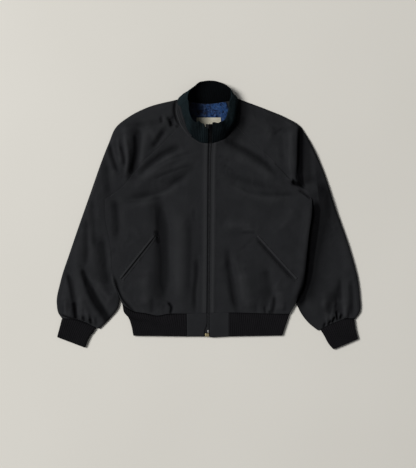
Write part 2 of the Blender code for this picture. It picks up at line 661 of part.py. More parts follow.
def make_cuff(name, side, collection):
    """Rib cuff, a flattened band with its seam at the inner side."""
    inner_edge, outer_edge = spline(side.cuff_inner), spline(side.cuff_outer)
    bottom = chain_of_lines([inner_edge(1.0), outer_edge(1.0)])
    rib_stretches = rib_columns(np.linalg.norm(outer_edge(0.5) - inner_edge(0.5)))
    plans = []
    for sleeve, columns in zip(sleeve_plans(side), (rib_stretches, SLEEVE_BACK_COLUMNS)):
        seam = sleeve[-1]
        first, last = sorted((inner_edge(0.0)[0] * side.sign, outer_edge(0.0)[0] * side.sign))
        within = (seam[:, 0] * side.sign > first + 1) & (seam[:, 0] * side.sign < last - 1)
        top = chain_of_lines(np.r_[[inner_edge(0.0)], seam[within], [outer_edge(0.0)]])
        plan = band_plan(inner_edge, outer_edge, top, bottom, columns, True, True)
        plans.append(draw_in(plan, ("top",), SEAM_GAP))
    upper, lower = plans
    edges = [(inner_edge, ROLL), (outer_edge, ROLL)]
    upper = raise_to(upper, upper_height(upper, edges))
    lower = raise_to(lower, lower_height(lower, edges))
    sheet = np.concatenate([upper, lower[:, -2::-1]], axis=1)
    inner = thicken(sheet, KNIT_WALL, ("top", "bottom"), [("start", slice(None)), ("end", slice(None))])
    first = len(ROLL_STATIONS) - 1
    sheet = ribbed(sheet, inner, first, first + rib_stretches)
    return add_wall(name, sheet, inner, KNIT, collection)


def make_hem_rib(name, collection):
    """Rib band round the hem, from one tab to the other, folded at both sides."""
    side_right, side_left = spline(RIB_SIDE_RIGHT), spline(RIB_SIDE_LEFT)
    corner_right, corner_left = side_right(1.0), side_left(1.0)
    hem_right = front_plan(RIGHT)[-1]
    hem_left = front_plan(LEFT)[-1]
    top_right = chain_of_lines(hem_right[hem_right[:, 0] < TAB_SIDE_RIGHT - 1])
    top_left = chain_of_lines(hem_left[hem_left[:, 0] > TAB_SIDE_LEFT + 1])
    start_right = chain_of_lines([top_right(0.0), (TAB_SIDE_RIGHT, RIB_BOTTOM)])
    start_left = chain_of_lines([top_left(0.0), (TAB_SIDE_LEFT, RIB_BOTTOM)])
    columns_right = rib_columns(TAB_SIDE_RIGHT - corner_right[0])
    columns_left = rib_columns(corner_left[0] - TAB_SIDE_LEFT)
    right = band_plan(start_right, side_right, top_right,
                      chain_of_lines([(TAB_SIDE_RIGHT, RIB_BOTTOM), corner_right]), columns_right,
                      roll_at_end=True)
    left = band_plan(start_left, side_left, top_left,
                     chain_of_lines([(TAB_SIDE_LEFT, RIB_BOTTOM), corner_left]), columns_left,
                     roll_at_end=True)
    back = band_plan(side_right, side_left, spline(HEM_BACK),
                     chain_of_lines([corner_right, (0, RIB_BOTTOM), corner_left]), BACK_COLUMNS,
                     roll_at_start=True, roll_at_end=True)
    edges = [(side_right, ROLL), (side_left, ROLL)]
    right = draw_in(right, ("top", "start"), SEAM_GAP)
    left = draw_in(left, ("top", "start"), SEAM_GAP)
    back = draw_in(back, ("top",), SEAM_GAP)
    right = raise_to(right, upper_height(right, edges))
    left = raise_to(left, upper_height(left, edges))
    back = raise_to(back, lower_height(back, edges))
    sheet = np.concatenate([right, back[:, 1:-1], left[:, ::-1]], axis=1)
    inner = thicken(sheet, KNIT_WALL, ("top", "bottom", "start", "end"))
    sheet = ribbed(sheet, inner, 0, columns_right)
    sheet = ribbed(sheet, inner, sheet.shape[1] - 1 - columns_left, sheet.shape[1] - 1)
    return add_wall(name, sheet, inner, KNIT, collection)


def make_hem_tab(name, side, zip_side, rib_side, bottom, collection):
    """Flat shell tab between the rib band and the zip."""
    hem = front_plan(side)[-1]
    near = hem[np.abs(hem[:, 0]) < abs(rib_side) - 1]
    end_of_top = np.array([rib_side, np.interp(rib_side * side.sign, side.sign * hem[:, 0], hem[:, 1])])
    top = chain_of_lines(np.r_[near, [end_of_top]])
    outline_bottom = chain_of_lines(bottom)
    plan = band_plan(spline(zip_side), chain_of_lines([end_of_top, bottom[-1]]), top, outline_bottom, 5)
    plan = draw_in(plan, ("top", "end"))
    outer = raise_to(plan, np.full(plan.shape[:-1], UPPER_TOP))
    inner = thicken(outer, SHELL_WALL)
    return add_wall(name, outer, inner, SHELL, collection)


def neck_seam():
    """The neck seam round from the zip's left side, as a function of its share, and its length.

    It runs on the upper layer to each shoulder, and on the lower layer between them.
    """
    lower_edges = [(spline(side.outer), ROLL) for side in (LEFT, RIGHT)]

    def upper(points, side, height):
        plan = sampled(spline(points))
        return raise_to(plan, height(plan, side))

    def lower(points):
        plan = sampled(spline(points))
        return raise_to(plan, lower_height(plan, lower_edges))

    pieces = [upper(NECK_FRONT_LEFT, LEFT, front_height),
              upper(NECK_SLEEVE_LEFT, LEFT, sleeve_height),
              lower(NECK_SLEEVE_BACK_LEFT)[::-1],
              lower(NECK_BACK)[::-1],
              lower(NECK_SLEEVE_BACK_RIGHT),
              upper(NECK_SLEEVE_RIGHT, RIGHT, sleeve_height)[::-1],
              upper(NECK_FRONT_RIGHT, RIGHT, front_height)[::-1]]
    line = np.concatenate([piece[1:] for piece in pieces])
    line = np.concatenate([pieces[0][:1], line])
    return chain_of_lines(line), lengths_along(line)[-1]


def outward_from_neck(points):
    """Unit normals of the collar, away from the neck."""
    normal = np.cross(np.gradient(points, axis=1), np.gradient(points, axis=0))
    normal /= np.linalg.norm(normal, axis=-1)[..., None]
    return normal if normal[0, 0, 2] > 0 else -normal


def collar_face(shares, heights):
    """Outer face of the collar at shares of the way round and shares of the way up."""
    seam = neck_seam()[0](shares)
    table = np.array(COLLAR_SECTIONS, float)
    section = smooth(table[:, 0], table[:, 1:], np.asarray(shares, float))
    top, bulge = section[:, 0:3], section[:, 3]
    seam = seam + COLLAR_STAND_OFF * square_to(seam, top)
    up = heights[:, None, None]
    flat = (1 - up) * seam + up * top
    return flat + (bulge[None, :, None] * np.sin(np.pi * up)) * outward_from_neck(flat)


def make_collar(name, collection):
    """Rib stand collar: one band from the zip round the neck and back to the zip."""
    columns = rib_columns(neck_seam()[1])
    outer = collar_face(np.linspace(0, 1, columns + 1), np.array(COLLAR_ROWS))
    normal = outward_from_neck(outer)
    square = square_to(outer[0], outer[-1])
    normal[0] -= np.maximum((normal[0] * square).sum(1), 0)[:, None] * square
    normal[0] /= np.linalg.norm(normal[0], axis=1)[:, None]
    inner = outer - KNIT_WALL * normal
    clear_of_floor = np.clip(outer[..., 2:] / RIB_CLEARANCE, 0, 1)
    clear_of_floor[0] = 0
    ribs = ribbed(outer, inner, 0, columns)
    return add_wall(name, outer + clear_of_floor * (ribs - outer), inner, COLLAR_KNIT, collection)


# ------------------------------------------------------- pockets and lining

def make_welt(name, side, mouth, offset, collection):
    """One welt of a pocket: a strip beside the mouth, made from the front's surface."""
    start, end = np.array(mouth[0], float), np.array(mouth[1], float)
    run = (end - start) / np.linalg.norm(end - start)
    across = np.array([-run[1], run[0]])
    length = np.linalg.norm(end - start)
    steps = np.linspace(0, length, WELT_STATIONS)[:, None, None]
    half = WELT_WIDTH / 2
    widths = np.linspace(offset - half, offset + half, WELT_ACROSS)[None, :, None]
    plan = start + steps * run + widths * across
    surface = raise_to(plan, front_height(plan, side) + WELT_GAP)
    return add_wall(name, surface + (0, 0, WELT_WALL), surface, SHELL, collection)


def make_lining(name, collection):
    """Lining of the back inside the neck, lying on the back's inner face."""
    bottom = chain_of_lines([LINING_SIDE_RIGHT[-1], LINING_SIDE_LEFT[-1]])
    plan = grid(spline(LINING_SIDE_RIGHT), spline(LINING_SIDE_LEFT), spline(LINING_TOP), bottom,
                np.linspace(0, 1, 6), 6)
    surface = raise_to(plan, np.full(plan.shape[:-1], SHELL_WALL + LYING_GAP))
    return add_wall(name, surface + (0, 0, LINING_WALL), surface, LINING, collection)


def make_label(name, collection):
    x, y = np.meshgrid(np.linspace(*LABEL_X, 4), np.linspace(*LABEL_Y, 3))
    height = SHELL_WALL + LINING_WALL + 2 * LYING_GAP
    surface = np.stack([x, y, np.full(x.shape, height)], axis=-1)
    return add_wall(name, surface + (0, 0, LABEL_WALL), surface, LABEL, collection)


# ---------------------------------------------------------------------- zip

def zip_rows(distances, first_y, collar_top):
    """Points of the cloth's outer face along the zip, with normals, a column for each distance.

    A distance is measured from the zip's middle, positive to the wearer's left.
    The rows run up the fronts to the neck seam and then up the collar.
    """
    stations = np.array(ZIP_STATIONS, float)
    up = np.r_[COLLAR_ROWS[:-1], collar_top]
    end_shares = ((0.0, END_STRETCH), (1 - END_STRETCH, 1.0))
    ends = [collar_face(np.array(shares), up) for shares in end_shares]
    end_left, end_right = ends[0][:, 0], ends[1][:, 1]
    end_normals = [outward_from_neck(end) for end in ends]
    columns = []
    for distance in distances:
        half_gap = stations[-1, 2]
        beyond = max(abs(distance) - half_gap, 0.0)
        neck = spline(NECK_FRONT_LEFT if distance > 0 else NECK_FRONT_RIGHT)(beyond / NECK_FRONT_LENGTH)
        between = (stations[:, 0] > first_y) & (stations[:, 0] < ZIP_BODY_TOP)
        y = np.r_[first_y, stations[between, 0], ZIP_BODY_TOP, neck[1] - 1]
        body = np.stack([np.interp(y, stations[:, 0], stations[:, 1]) + distance, y,
                         np.full(len(y), UPPER_TOP)], axis=-1)
        if beyond:
            share = beyond / neck_seam()[1]
            left, right = (share, share + END_STRETCH), (1 - share - END_STRETCH, 1 - share)
            shares = left if distance > 0 else right
            face = collar_face(np.array(shares), up)
            column = 0 if distance > 0 else 1
            collar, collar_normal = face[:, column], outward_from_neck(face)[:, column]
        else:
            weight = (distance + half_gap) / (2 * half_gap)
            collar = weight * end_left + (1 - weight) * end_right
            collar_normal = weight * end_normals[0][:, 0] + (1 - weight) * end_normals[1][:, 1]
            collar_normal[:, 0] = 0
        normal = np.concatenate([np.tile((0.0, 0.0, 1.0), (len(y), 1)), collar_normal])
        columns.append((np.concatenate([body, collar]), normal))
    points = np.stack([column[0] for column in columns], axis=1)
    normals = np.stack([column[1] for column in columns], axis=1)
    return points, normals / np.linalg.norm(normals, axis=-1)[..., None]


def make_zip_tapes(collection):
    """A tape on each side of the chain, sewn under the front's edge and the collar's end."""
    depth = SHELL_WALL + LYING_GAP
    for name, sign in (("zip_tape_left", 1), ("zip_tape_right", -1)):
        distances = sorted(sign * across for across in (SEAM_GAP, 6.0, 10.0, TAPE_WIDTH))
        points, normals = zip_rows(distances, TAPE_END, TAPE_TOP)
        add_wall(name, points - depth * normals, points - (depth + TAPE_WALL) * normals, TAPE, collection)


def make_zip_chain(name, collection):
    points, normals = zip_rows((-CHAIN_WIDTH / 2, 0.0, CHAIN_WIDTH / 2), CHAIN_END, CHAIN_TOP)
    return add_wall(name, points - CHAIN_SINK * normals, points - SHELL_WALL * normals, CHAIN, collection)


def slider_place():
    """Where the slider's middle lies on the collar, and the slope of the cloth there."""
    points, normals = zip_rows((0.0,), CHAIN_END, CHAIN_TOP)
    below, above = points[-2:, 0]
    along = (SLIDER_AT - COLLAR_ROWS[-2]) / (CHAIN_TOP - COLLAR_ROWS[-2])
    return (1 - along) * below + along * above, atan2(above[2] - below[2], above[1] - below[1])


def flat_outline(name, loops, thickness):
    """Mesh of a flat outline with holes, thickened both ways from its plane."""
    curve = bpy.data.curves.new(name, "CURVE")
    curve.dimensions = "2D"
    curve.fill_mode = "BOTH"
    curve.extrude = thickness / 2 * MM
    for loop in loops:
        line = curve.splines.new("POLY")
        line.points.add(len(loop) - 1)
        for point, (x, y) in zip(line.points, loop):
            point.co = (x * MM, y * MM, 0, 1)
        line.use_cyclic_u = True
    carrier = bpy.data.objects.new(name, curve)
    bpy.context.scene.collection.objects.link(carrier)
    mesh = bpy.data.meshes.new_from_object(carrier.evaluated_get(bpy.context.evaluated_depsgraph_get()))
    bpy.data.objects.remove(carrier)
    shape = bmesh.new()
    shape.from_mesh(mesh)
    bmesh.ops.remove_doubles(shape, verts=shape.verts, dist=1e-6)
    shape.to_mesh(mesh)
    shape.free()
    return mesh


def rectangle(x_low, x_high, y_low, y_high):
    return [(x_low, y_low), (x_high, y_low), (x_high, y_high), (x_low, y_high)]


def stadium(width, length, middle_y, steps=6):
    """Outline of a slot with round ends, long in y."""
    radius, half = width / 2, (length - width) / 2
    turn = np.linspace(0, np.pi, steps + 1)
    upper = [(radius * cos(a), middle_y + half + radius * sin(a)) for a in turn]
    lower = [(-radius * cos(a), middle_y - half - radius * sin(a)) for a in turn]
    return upper + lower


def round_edges(piece, width):
    bevel = piece.modifiers.new("round edges", "BEVEL")
    bevel.width = width * MM
    bevel.segments = 2
    bevel.limit_method = "ANGLE"


def make_zip_slider(name, collection):
    """Slider: a plate over the chain with a side down each flank, and a bridge for the pull tab."""
    half, inside = SLIDER_WIDTH / 2, SLIDER_WIDTH / 2 - SLIDER_FLANGE
    low, under, top = -SLIDER_DEPTH, SLIDER_LIFT, SLIDER_LIFT + SLIDER_PLATE
    channel = [(-half, low), (-inside, low), (-inside, under), (inside, under), (inside, low),
               (half, low), (half, top), (-half, top)]
    body = flat_outline(name, [channel], SLIDER_LENGTH)
    body.transform(Matrix.Rotation(radians(90), 4, "X"))
    bridge_loops = [rectangle(-BRIDGE_LENGTH / 2, BRIDGE_LENGTH / 2, -BRIDGE_SUNK, BRIDGE_HEIGHT),
                    rectangle(-BRIDGE_HOLE[0] / 2, BRIDGE_HOLE[0] / 2, 0.0, BRIDGE_HOLE[1])]
    bridge = flat_outline(name + "_bridge", bridge_loops, BRIDGE_WIDTH)
    bridge.transform(Matrix.Translation((0, 0, top * MM)) @ Matrix.Rotation(radians(90), 4, "Z")
                     @ Matrix.Rotation(radians(90), 4, "X"))
    place, slope = slider_place()
    slider = add_object(name, body, SLIDER_DARK, collection)
    cutters = bpy.data.collections.new("joined pieces")
    bpy.context.scene.collection.children.link(cutters)
    arch = bpy.data.objects.new(name + "_bridge", bridge)
    cutters.objects.link(arch)
    arch.hide_render = True
    arch.display_type = "WIRE"
    for piece in (slider, arch):
        piece.location = [value * MM for value in place]
        piece.rotation_euler = (slope, 0, 0)
    union = slider.modifiers.new("bridge", "BOOLEAN")
    union.operation = "UNION"
    union.object = arch
    return slider


def make_zip_pull(name, collection):
    """Pull tab: a plate with a window that the slider's bridge stands in, lying down the zip."""
    half_bar = PULL_EYE_BAR / 2
    plate = rectangle(-PULL_WIDTH / 2, PULL_WIDTH / 2, -PULL_LENGTH, half_bar)
    window = rectangle(-PULL_EYE[0] / 2, PULL_EYE[0] / 2, -half_bar - PULL_EYE[1], -half_bar)
    hole = stadium(*PULL_HOLE, -PULL_HOLE_AT)
    outline = flat_outline(name, [plate, window, hole], PULL_THICK)
    pull = add_object(name, outline, SLIDER_DARK, collection)
    (x, y, z), slope = slider_place()
    hinge = (x, y - HINGE_LIFT * sin(slope), z + HINGE_LIFT * cos(slope))
    pull.location = [value * MM for value in hinge]
    pull.rotation_euler = (slope, 0, 0)
    return pull


def make_block(name, size, middle, collection):
    """A small metal block with rounded edges."""
    mesh = bpy.data.meshes.new(name)
    shape = bmesh.new()
    bmesh.ops.create_cube(shape, size=1.0)
    bmesh.ops.scale(shape, vec=[value * MM for value in size], verts=shape.verts)
    shape.to_mesh(mesh)
    shape.free()
    block = add_object(name, mesh, BRASS, collection)
    block.location = [value * MM for value in middle]
    round_edges(block, METAL_EDGE)
    return block


def build():
    for old in list(bpy.data.objects):
        bpy.data.objects.remove(old)
    collection = bpy.data.collections.new(NAME)
    bpy.context.scene.collection.children.link(collection)

    make_front("front_left", LEFT, collection)
    make_front("front_right", RIGHT, collection)
    make_back("back", collection)
    make_sleeve("sleeve_left", LEFT, collection)
    make_sleeve("sleeve_right", RIGHT, collection)
    make_cuff("cuff_left", LEFT, collection)
    make_cuff("cuff_right", RIGHT, collection)
    make_hem_rib("hem_rib", collection)
    make_hem_tab("hem_tab_left", LEFT, TAB_ZIP_SIDE_LEFT, TAB_SIDE_LEFT, TAB_BOTTOM_LEFT, collection)
    make_hem_tab("hem_tab_right", RIGHT, TAB_ZIP_SIDE_RIGHT, TAB_SIDE_RIGHT, TAB_BOTTOM_RIGHT,
                 collection)
    make_collar("collar", collection)
    make_lining("neck_lining", collection)
    make_label("neck_label", collection)
    welt_offset = (WELT_SLIT + WELT_WIDTH) / 2
    for side_name, side, mouth in (("left", LEFT, POCKET_LEFT), ("right", RIGHT, POCKET_RIGHT)):
        make_welt(f"welt_{side_name}_upper", side, mouth, side.sign * welt_offset, collection)
        make_welt(f"welt_{side_name}_lower", side, mouth, -side.sign * welt_offset, collection)
    make_zip_tapes(collection)
    make_zip_chain("zip_chain", collection)
    make_zip_slider("zip_slider", collection)
    make_zip_pull("zip_pull", collection)
    make_block("zip_box", BOX_SIZE, BOX_MIDDLE, collection)
    make_block("zip_pin", PIN_SIZE, PIN_MIDDLE, collection)


build()
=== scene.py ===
"""Looks of the flight jacket: cloth, rib knit, lining, seams, stitches and zip.

The jacket lies face up with its zip closed. +X is the wearer's left, +Y runs
from the hem to the collar, and +Z is up. Tables and grids are in millimetres;
meshes are in metres. Each cloth piece is a thin wall on the form of the solid
that it stands for, on a finer grid and with its smaller creases.
"""

from collections import namedtuple
from math import cos, pi, radians, sin

import bpy
import numpy as np
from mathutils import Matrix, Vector


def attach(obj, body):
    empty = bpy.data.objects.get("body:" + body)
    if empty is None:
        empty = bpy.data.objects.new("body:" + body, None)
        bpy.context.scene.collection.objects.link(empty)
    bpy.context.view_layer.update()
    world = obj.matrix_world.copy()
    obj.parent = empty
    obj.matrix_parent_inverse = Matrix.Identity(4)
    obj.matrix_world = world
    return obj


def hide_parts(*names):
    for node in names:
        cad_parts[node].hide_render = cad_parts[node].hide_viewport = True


MM = 0.001

# ---------------------------------------------------------------- sizes, mm

CLOTH_WALL = 1.2        # shell cloth with its lining, as it shows at an edge
KNIT_WALL = 2.2
RIB_RAISE = 0.9         # a rib stands this far out of the knit
RIB_PITCH = 5.5
COLUMNS_A_RIB = 6
SEAM_GAP = 0.3          # between two pieces that are sewn together

UPPER_TOP = 8.5         # outer face of the upper layer, where it has no fold
FOLD_MIDDLE = 4.25      # height at which the cloth turns at an outline
ROLL = 6.5              # width of the turn, seen from above
UPPER_EDGE = FOLD_MIDDLE + SEAM_GAP / 2     # outer faces of the two layers at a turned edge
LOWER_EDGE = FOLD_MIDDLE - SEAM_GAP / 2
SLEEVE_ROLL_LEFT = 42.0     # the left sleeve slopes down over this width into the gap beside the body
SLEEVE_ROLL_RIGHT = 9.0
SIDE_RISE_LEFT = 5.5    # the front stands this much higher along its side than elsewhere
SIDE_RISE_RIGHT = 0.0
SIDE_RISE_WIDTH = 24.0
SIDE_RISE_ENDS = (48.0, 0.0, -215.0, -268.0)    # y where it starts, is full, fades and is gone
SLEEVE_PUFF = 3.0       # how far the middle of a sleeve stands above the fronts
PUFF_RISE = 50.0        # distance from a sleeve's edges over which it rises
DEEPEST_FOLD = 4.9      # no trough is deeper than this, so the layers stay apart
NECK_DEEPEST_FOLD = 3.0     # the same at the neck seam, as in the solids
FLAT_BESIDE_ZIP = 24.0  # the largest folds end this far from the zip
FLAT_AT_ZIP = 6.0       # the small creases end this far from the zip, and grow over the next
CREASES_GROW = 20.0
BESIDE_SLEEVE = 0.2     # the sleeve's inner edge stands off the body's side
COLLAR_STAND_OFF = 0.6  # the collar's seam edge stands this far in from the neck edge
RIB_CLEARANCE = 4.0     # the collar's ribs fade out over this height above the floor
CUFF_DEPTH = 58.0
HEM_DEPTH = 68.0
TAB_DEPTH = 70.0
BODY_LENGTH = 500.0     # these two set the number of rows
SLEEVE_LENGTH = 560.0

CLOTH_STEP = 2.5        # from one row or column of a cloth grid to the next
BACK_STEP = 5.0
KNIT_STEP = 1.8
LINING_STEP = 1.6
COURSE_PITCH = 2.2      # height of a stitch of the knit
EDGE_STATIONS = (0.0, 0.3, 0.8, 1.6, 2.7, 4.2, 6.5)     # closer rows along each edge

SEAM_DIP = 0.12         # the cloth goes down this far at a seam
SEAM_DIP_WIDTH = 1.8
RIB_DIP = 1.8           # the hem rib lies this far below the blouson's edge
RIB_DIP_WIDTH = 3.0
HEM_SHADE = (0.95, 0.55)    # painted shade under the blouson's edge, up to HEM_DARK_UNTIL and past it
HEM_DARK_UNTIL = -100.0
SEAM_ROLL = 0.1         # the seam allowance under the cloth lifts it beside the seam
SEAM_ROLL_AT = 5.0
SEAM_ROLL_WIDTH = 3.5
VISIBLE_GAP = 0.03      # half the gap between two pieces at a seam, narrower than the solids' gap
PLACKET_AT = 15.5       # the facing behind the zip ends this far from the front's edge
PLACKET_LIFT = 0.7
PLACKET_LINES = ((PLACKET_AT, 0.5, 1.6), (5.0, 0.45, 1.2), (0.0, 0.9, 1.0))    # at, depth, width

LINING_WALL = 0.6
LABEL_WALL = 0.5
WELT_WALL = 0.5
WELT_WIDTH = 6.6
WELT_SLIT = 2.0         # between a pocket's two welts
WELT_GAP = 0.1          # under a welt
WELT_ROUND = (2.4, 0.22)    # its ends turn down over mm, and its long edges over a share of its width
LYING_GAP = 0.35        # between a solid and what lies on it
LABEL_LIT_FROM = 22.0   # at a smaller x than these two, the label and the lining get a painted shadow of the collar
LINING_LIT_FROM = 18.0
LIT_OVER = 55.0         # the painted shadow fades over this width
CAD_SLEEVE_ROLL = 17.0  # turn of the left sleeve's solid, which the collar's seam follows
CAD_SHELL_WALL = 2.5    # wall of the shell's solids, which the lining and the tapes lie on

TAPE_WALL = 0.6
TAPE_WIDTH = 14.0
TAPE_TOP = 0.97         # upper ends of the tapes and the chain, as shares of the collar's height
CHAIN_TOP = 0.985
TAPE_END = -345.9       # y of their lower ends
CHAIN_END = -335.5
CHAIN_SINK = 0.3        # top of the teeth below the cloth's outer face
TAPE_COLUMNS = (SEAM_GAP, 1.2, 2.4, 3.6, 5.0, 7.0, 10.0, TAPE_WIDTH)
ZIP_BODY_TOP = 200.0    # the zip's rows run straight from here to the neck seam
ZIP_SHADE_FROM = 204.0  # the teeth get painted shade above here, where they lie in the collar's shade
ZIP_SHADE_OVER = 12.0
NECK_FRONT_LENGTH = 98.0
TOOTH_PITCH = 2.6
TOOTH_SIZE = (3.1, 1.25, 1.3)   # across, along and out of the chain
TOOTH_SET = 1.25        # middle of a tooth, from the chain's middle

PLACKET_LIGHTENING = 1.6      # how much lighter the cloth's colour is over the zip's facing
PLACKET_LIGHTER_AT = (7.5, 4.5)    # middle and half width of the lighter strip, from the front's edge
RELIEF_HEIGHT = 1.6     # difference in height at which the cloth gets its full wear and painted highlight, or its full painted shade
RELIEF_REACH = 50       # rounds of averaging, for the height of the cloth round a point

STITCH_LENGTH = 2.6
STITCH_PITCH = 3.3
STITCH_THICK = 0.5
STITCH_LIFT = 0.1       # middle of a stitch, above the cloth
EDGE_STITCHES_AT = 5.0  # from the front's edge
NECK_STITCHES_AT = 3.2  # from the seam, as the next two
RAGLAN_STITCHES_AT = 2.6
CUFF_STITCHES_AT = 3.0
BOX_PAST_MOUTH = 3.2    # the stitched box round a pocket, past the mouth and beside the welts
BOX_BESIDE_WELT = 1.6

# ------------------------------------------------- outlines, x and y in mm

SLEEVE_OUTER_LEFT = [(86, 340), (174, 307), (226, 285), (268, 259), (284, 236), (331, 141),
                     (373, 16), (415, -105), (438, -195), (443, -240), (442, -285), (428, -305)]
SLEEVE_OUTER_RIGHT = [(-90, 338), (-180, 314), (-233, 287), (-271, 256), (-292, 209), (-352, 45),
                      (-404, -105), (-433, -195), (-444, -258), (-439, -287), (-430, -301)]
RAGLAN_FRONT_LEFT = [(81, 264), (139, 205), (195, 154), (226, 116), (247, 93), (303, 46)]
RAGLAN_FRONT_RIGHT = [(-81, 267), (-139, 205), (-195, 154), (-226, 116), (-239, 97), (-304, 45)]
RAGLAN_BACK_LEFT = [(52, 333), (132, 240), (214, 142), (303, 46)]
RAGLAN_BACK_RIGHT = [(-54, 332), (-132, 240), (-214, 142), (-304, 45)]
SIDE_LEFT = [(303, 46), (304, 14), (295, -52), (284, -166), (280, -195), (256, -258)]
SIDE_RIGHT = [(-304, 45), (-303, 0), (-285, -101), (-280, -182), (-259, -246)]
UNDERARM_LEFT = [(256, -258), (271, -288), (292, -315), (320, -338)]
UNDERARM_RIGHT = [(-259, -246), (-263, -268), (-287, -301), (-319, -333)]
SIDE_END_LEFT = [(256, -258), (237, -289)]
SIDE_END_RIGHT = [(-259, -246), (-252, -262)]
CUFF_SEAM_LEFT = [(320, -338), (352, -321), (375, -312), (405, -303), (428, -305)]
CUFF_SEAM_RIGHT = [(-319, -333), (-358, -316), (-389, -306), (-430, -301)]
CUFF_INNER_LEFT = [(328, -337), (337, -351), (352, -378), (365, -393)]
CUFF_OUTER_LEFT = [(427, -306), (429, -325), (438, -362)]
CUFF_INNER_RIGHT = [(-330, -330), (-348, -357), (-361, -388)]
CUFF_OUTER_RIGHT = [(-429, -303), (-434, -323), (-443, -357)]
NECK_FRONT_LEFT = [(10.8, 209), (29, 215), (47, 223), (64, 240), (81, 264)]
NECK_FRONT_RIGHT = [(-0.4, 209), (-23, 212), (-38, 220), (-58, 236), (-81, 267)]
NECK_SLEEVE_LEFT = [(81, 264), (85, 300), (86, 340)]
NECK_SLEEVE_RIGHT = [(-81, 267), (-92, 305), (-90, 338)]
NECK_SLEEVE_BACK_LEFT = [(52, 333), (70, 336), (86, 340)]
NECK_SLEEVE_BACK_RIGHT = [(-54, 332), (-72, 334), (-90, 338)]
NECK_BACK = [(-54, 332), (0, 326), (52, 333)]
HEM_LEFT = [(3.0, -286), (60, -285), (180, -288), (237, -289)]
HEM_RIGHT = [(-5.0, -286), (-64, -288), (-119, -289), (-150, -294), (-184, -287), (-216, -282),
             (-252, -262)]
HEM_BACK = [(-252, -262), (-216, -282), (0, -288), (237, -289)]
RIB_SIDE_LEFT = [(237, -289), (226, -322), (216, -352)]
RIB_SIDE_RIGHT = [(-252, -262), (-247, -285), (-234, -301), (-226, -323), (-220, -353)]
RIB_BOTTOM = -355.0
TAB_SIDE_LEFT = 60.0
TAB_SIDE_RIGHT = -64.0
TAB_BOTTOM_LEFT = [(4.6, -358), (60, -355)]
TAB_BOTTOM_RIGHT = [(-12.6, -355), (-64, -355)]
TAB_ZIP_SIDE_LEFT = [(3.0, -286), (3.4, -330), (4.6, -358)]
TAB_ZIP_SIDE_RIGHT = [(-5.0, -286), (-5.8, -322), (-11.6, -338), (-12.6, -355)]
POCKET_LEFT = ((140, -63), (255, -190))
POCKET_RIGHT = ((-155, -62), (-255, -188))
LINING_TOP = [(-50, 329.5), (0, 324.5), (50, 330.5)]
LINING_SIDE_LEFT = [(50, 330.5), (66, 285), (64, 195)]
LINING_SIDE_RIGHT = [(-50, 329.5), (-66, 285), (-62, 195)]
LABEL_X = (-35.0, 36.0)
LABEL_Y = (257.0, 285.0)

ZipStation = namedtuple("ZipStation", "y middle half_gap")
ZIP_STATIONS = [
    ZipStation(-337, -1.2, 4.2),
    ZipStation(-286, -1.0, 4.0),
    ZipStation(-103, 1.0, 4.2),
    ZipStation(117, 2.5, 4.5),
    ZipStation(185, 3.6, 4.9),
    ZipStation(209, 5.2, 5.6),
]

CollarSection = namedtuple("CollarSection", "share top_x top_y top_z bulge")
COLLAR_SECTIONS = [
    CollarSection(0.000, 11.0, 263.0, 40.0, 2.0),
    CollarSection(0.040, 26.0, 264.0, 42.0, 2.0),
    CollarSection(0.085, 43.0, 271.0, 43.0, 3.0),
    CollarSection(0.125, 53.0, 285.0, 43.0, 6.0),
    CollarSection(0.175, 57.0, 303.0, 40.0, 8.5),
    CollarSection(0.250, 60.0, 326.0, 38.0, 8.5),
    CollarSection(0.325, 65.0, 350.0, 36.0, 4.0),
    CollarSection(0.360, 61.0, 367.0, 31.0, 2.5),
    CollarSection(0.400, 49.0, 381.0, 24.0, 1.0),
    CollarSection(0.450, 28.0, 389.0, 15.0, 0.0),
    CollarSection(0.500, 4.0, 392.5, 12.0, 0.0),
    CollarSection(0.550, -18.0, 389.5, 15.0, 0.0),
    CollarSection(0.600, -37.0, 381.0, 24.0, 1.0),
    CollarSection(0.640, -52.0, 366.0, 36.0, 3.0),
    CollarSection(0.675, -60.0, 349.0, 47.0, 4.0),
    CollarSection(0.750, -58.0, 325.0, 52.0, 4.0),
    CollarSection(0.825, -55.0, 298.0, 50.0, 3.0),
    CollarSection(0.875, -48.0, 276.0, 47.0, 2.0),
    CollarSection(0.920, -36.0, 267.0, 44.0, 2.0),
    CollarSection(0.955, -21.0, 264.0, 42.0, 2.0),
    CollarSection(1.000, -0.6, 262.5, 40.0, 2.0),
]
# Where the front of the band bulges up along its top.
Lump = namedtuple("Lump", "x width height")
COLLAR_LUMPS = [Lump(-27.0, 5.0, 4.5), Lump(-12.0, 4.0, 4.5), Lump(16.0, 9.0, 4.0), Lump(35.0, 5.0, 2.0)]
COLLAR_WALL = 2.5
COLLAR_HEIGHT = 60.0
COLLAR_SINK = 1.2       # its seam edge goes down this far under the cloth
COLLAR_TURN = 0.06      # its top is rounded over this share of its height
NECK_FOLD_ENDS = (0.69, 0.90)   # shares of the way round, on the wearer's right
NECK_FOLD_HEIGHT = 0.45     # as a share of the collar's height
NECK_FOLD_LINES = 2.5   # furrows along it
NECK_FOLD_THICK = 2.6
NECK_FOLD_HIGHLIGHT = 2.2    # painted highlight along its foot
NOTCH_FROM = 0.965      # share of the way round from which the band's top is turned in
NOTCH_DEPTH = 0.2
COLLAR_FRONT_SHADE = 0.6    # painted shade of the zip's teeth on the collar
STEEP_SHADE = 0.8       # painted shade at the foot of the band's steep left side
FRONT_SHADES = (0.62, 0.5)  # painted shade over the band's front, on the wearer's left and right
INSIDE_SHADE = 0.9      # painted shade over the band's inner face, which lies in its own shade
COLLAR_ROWS = (0.0, 0.07, 0.5, 1.0)     # heights at which the collar's solid has its rows

# ----------------------------------------------------- folds and creases, mm

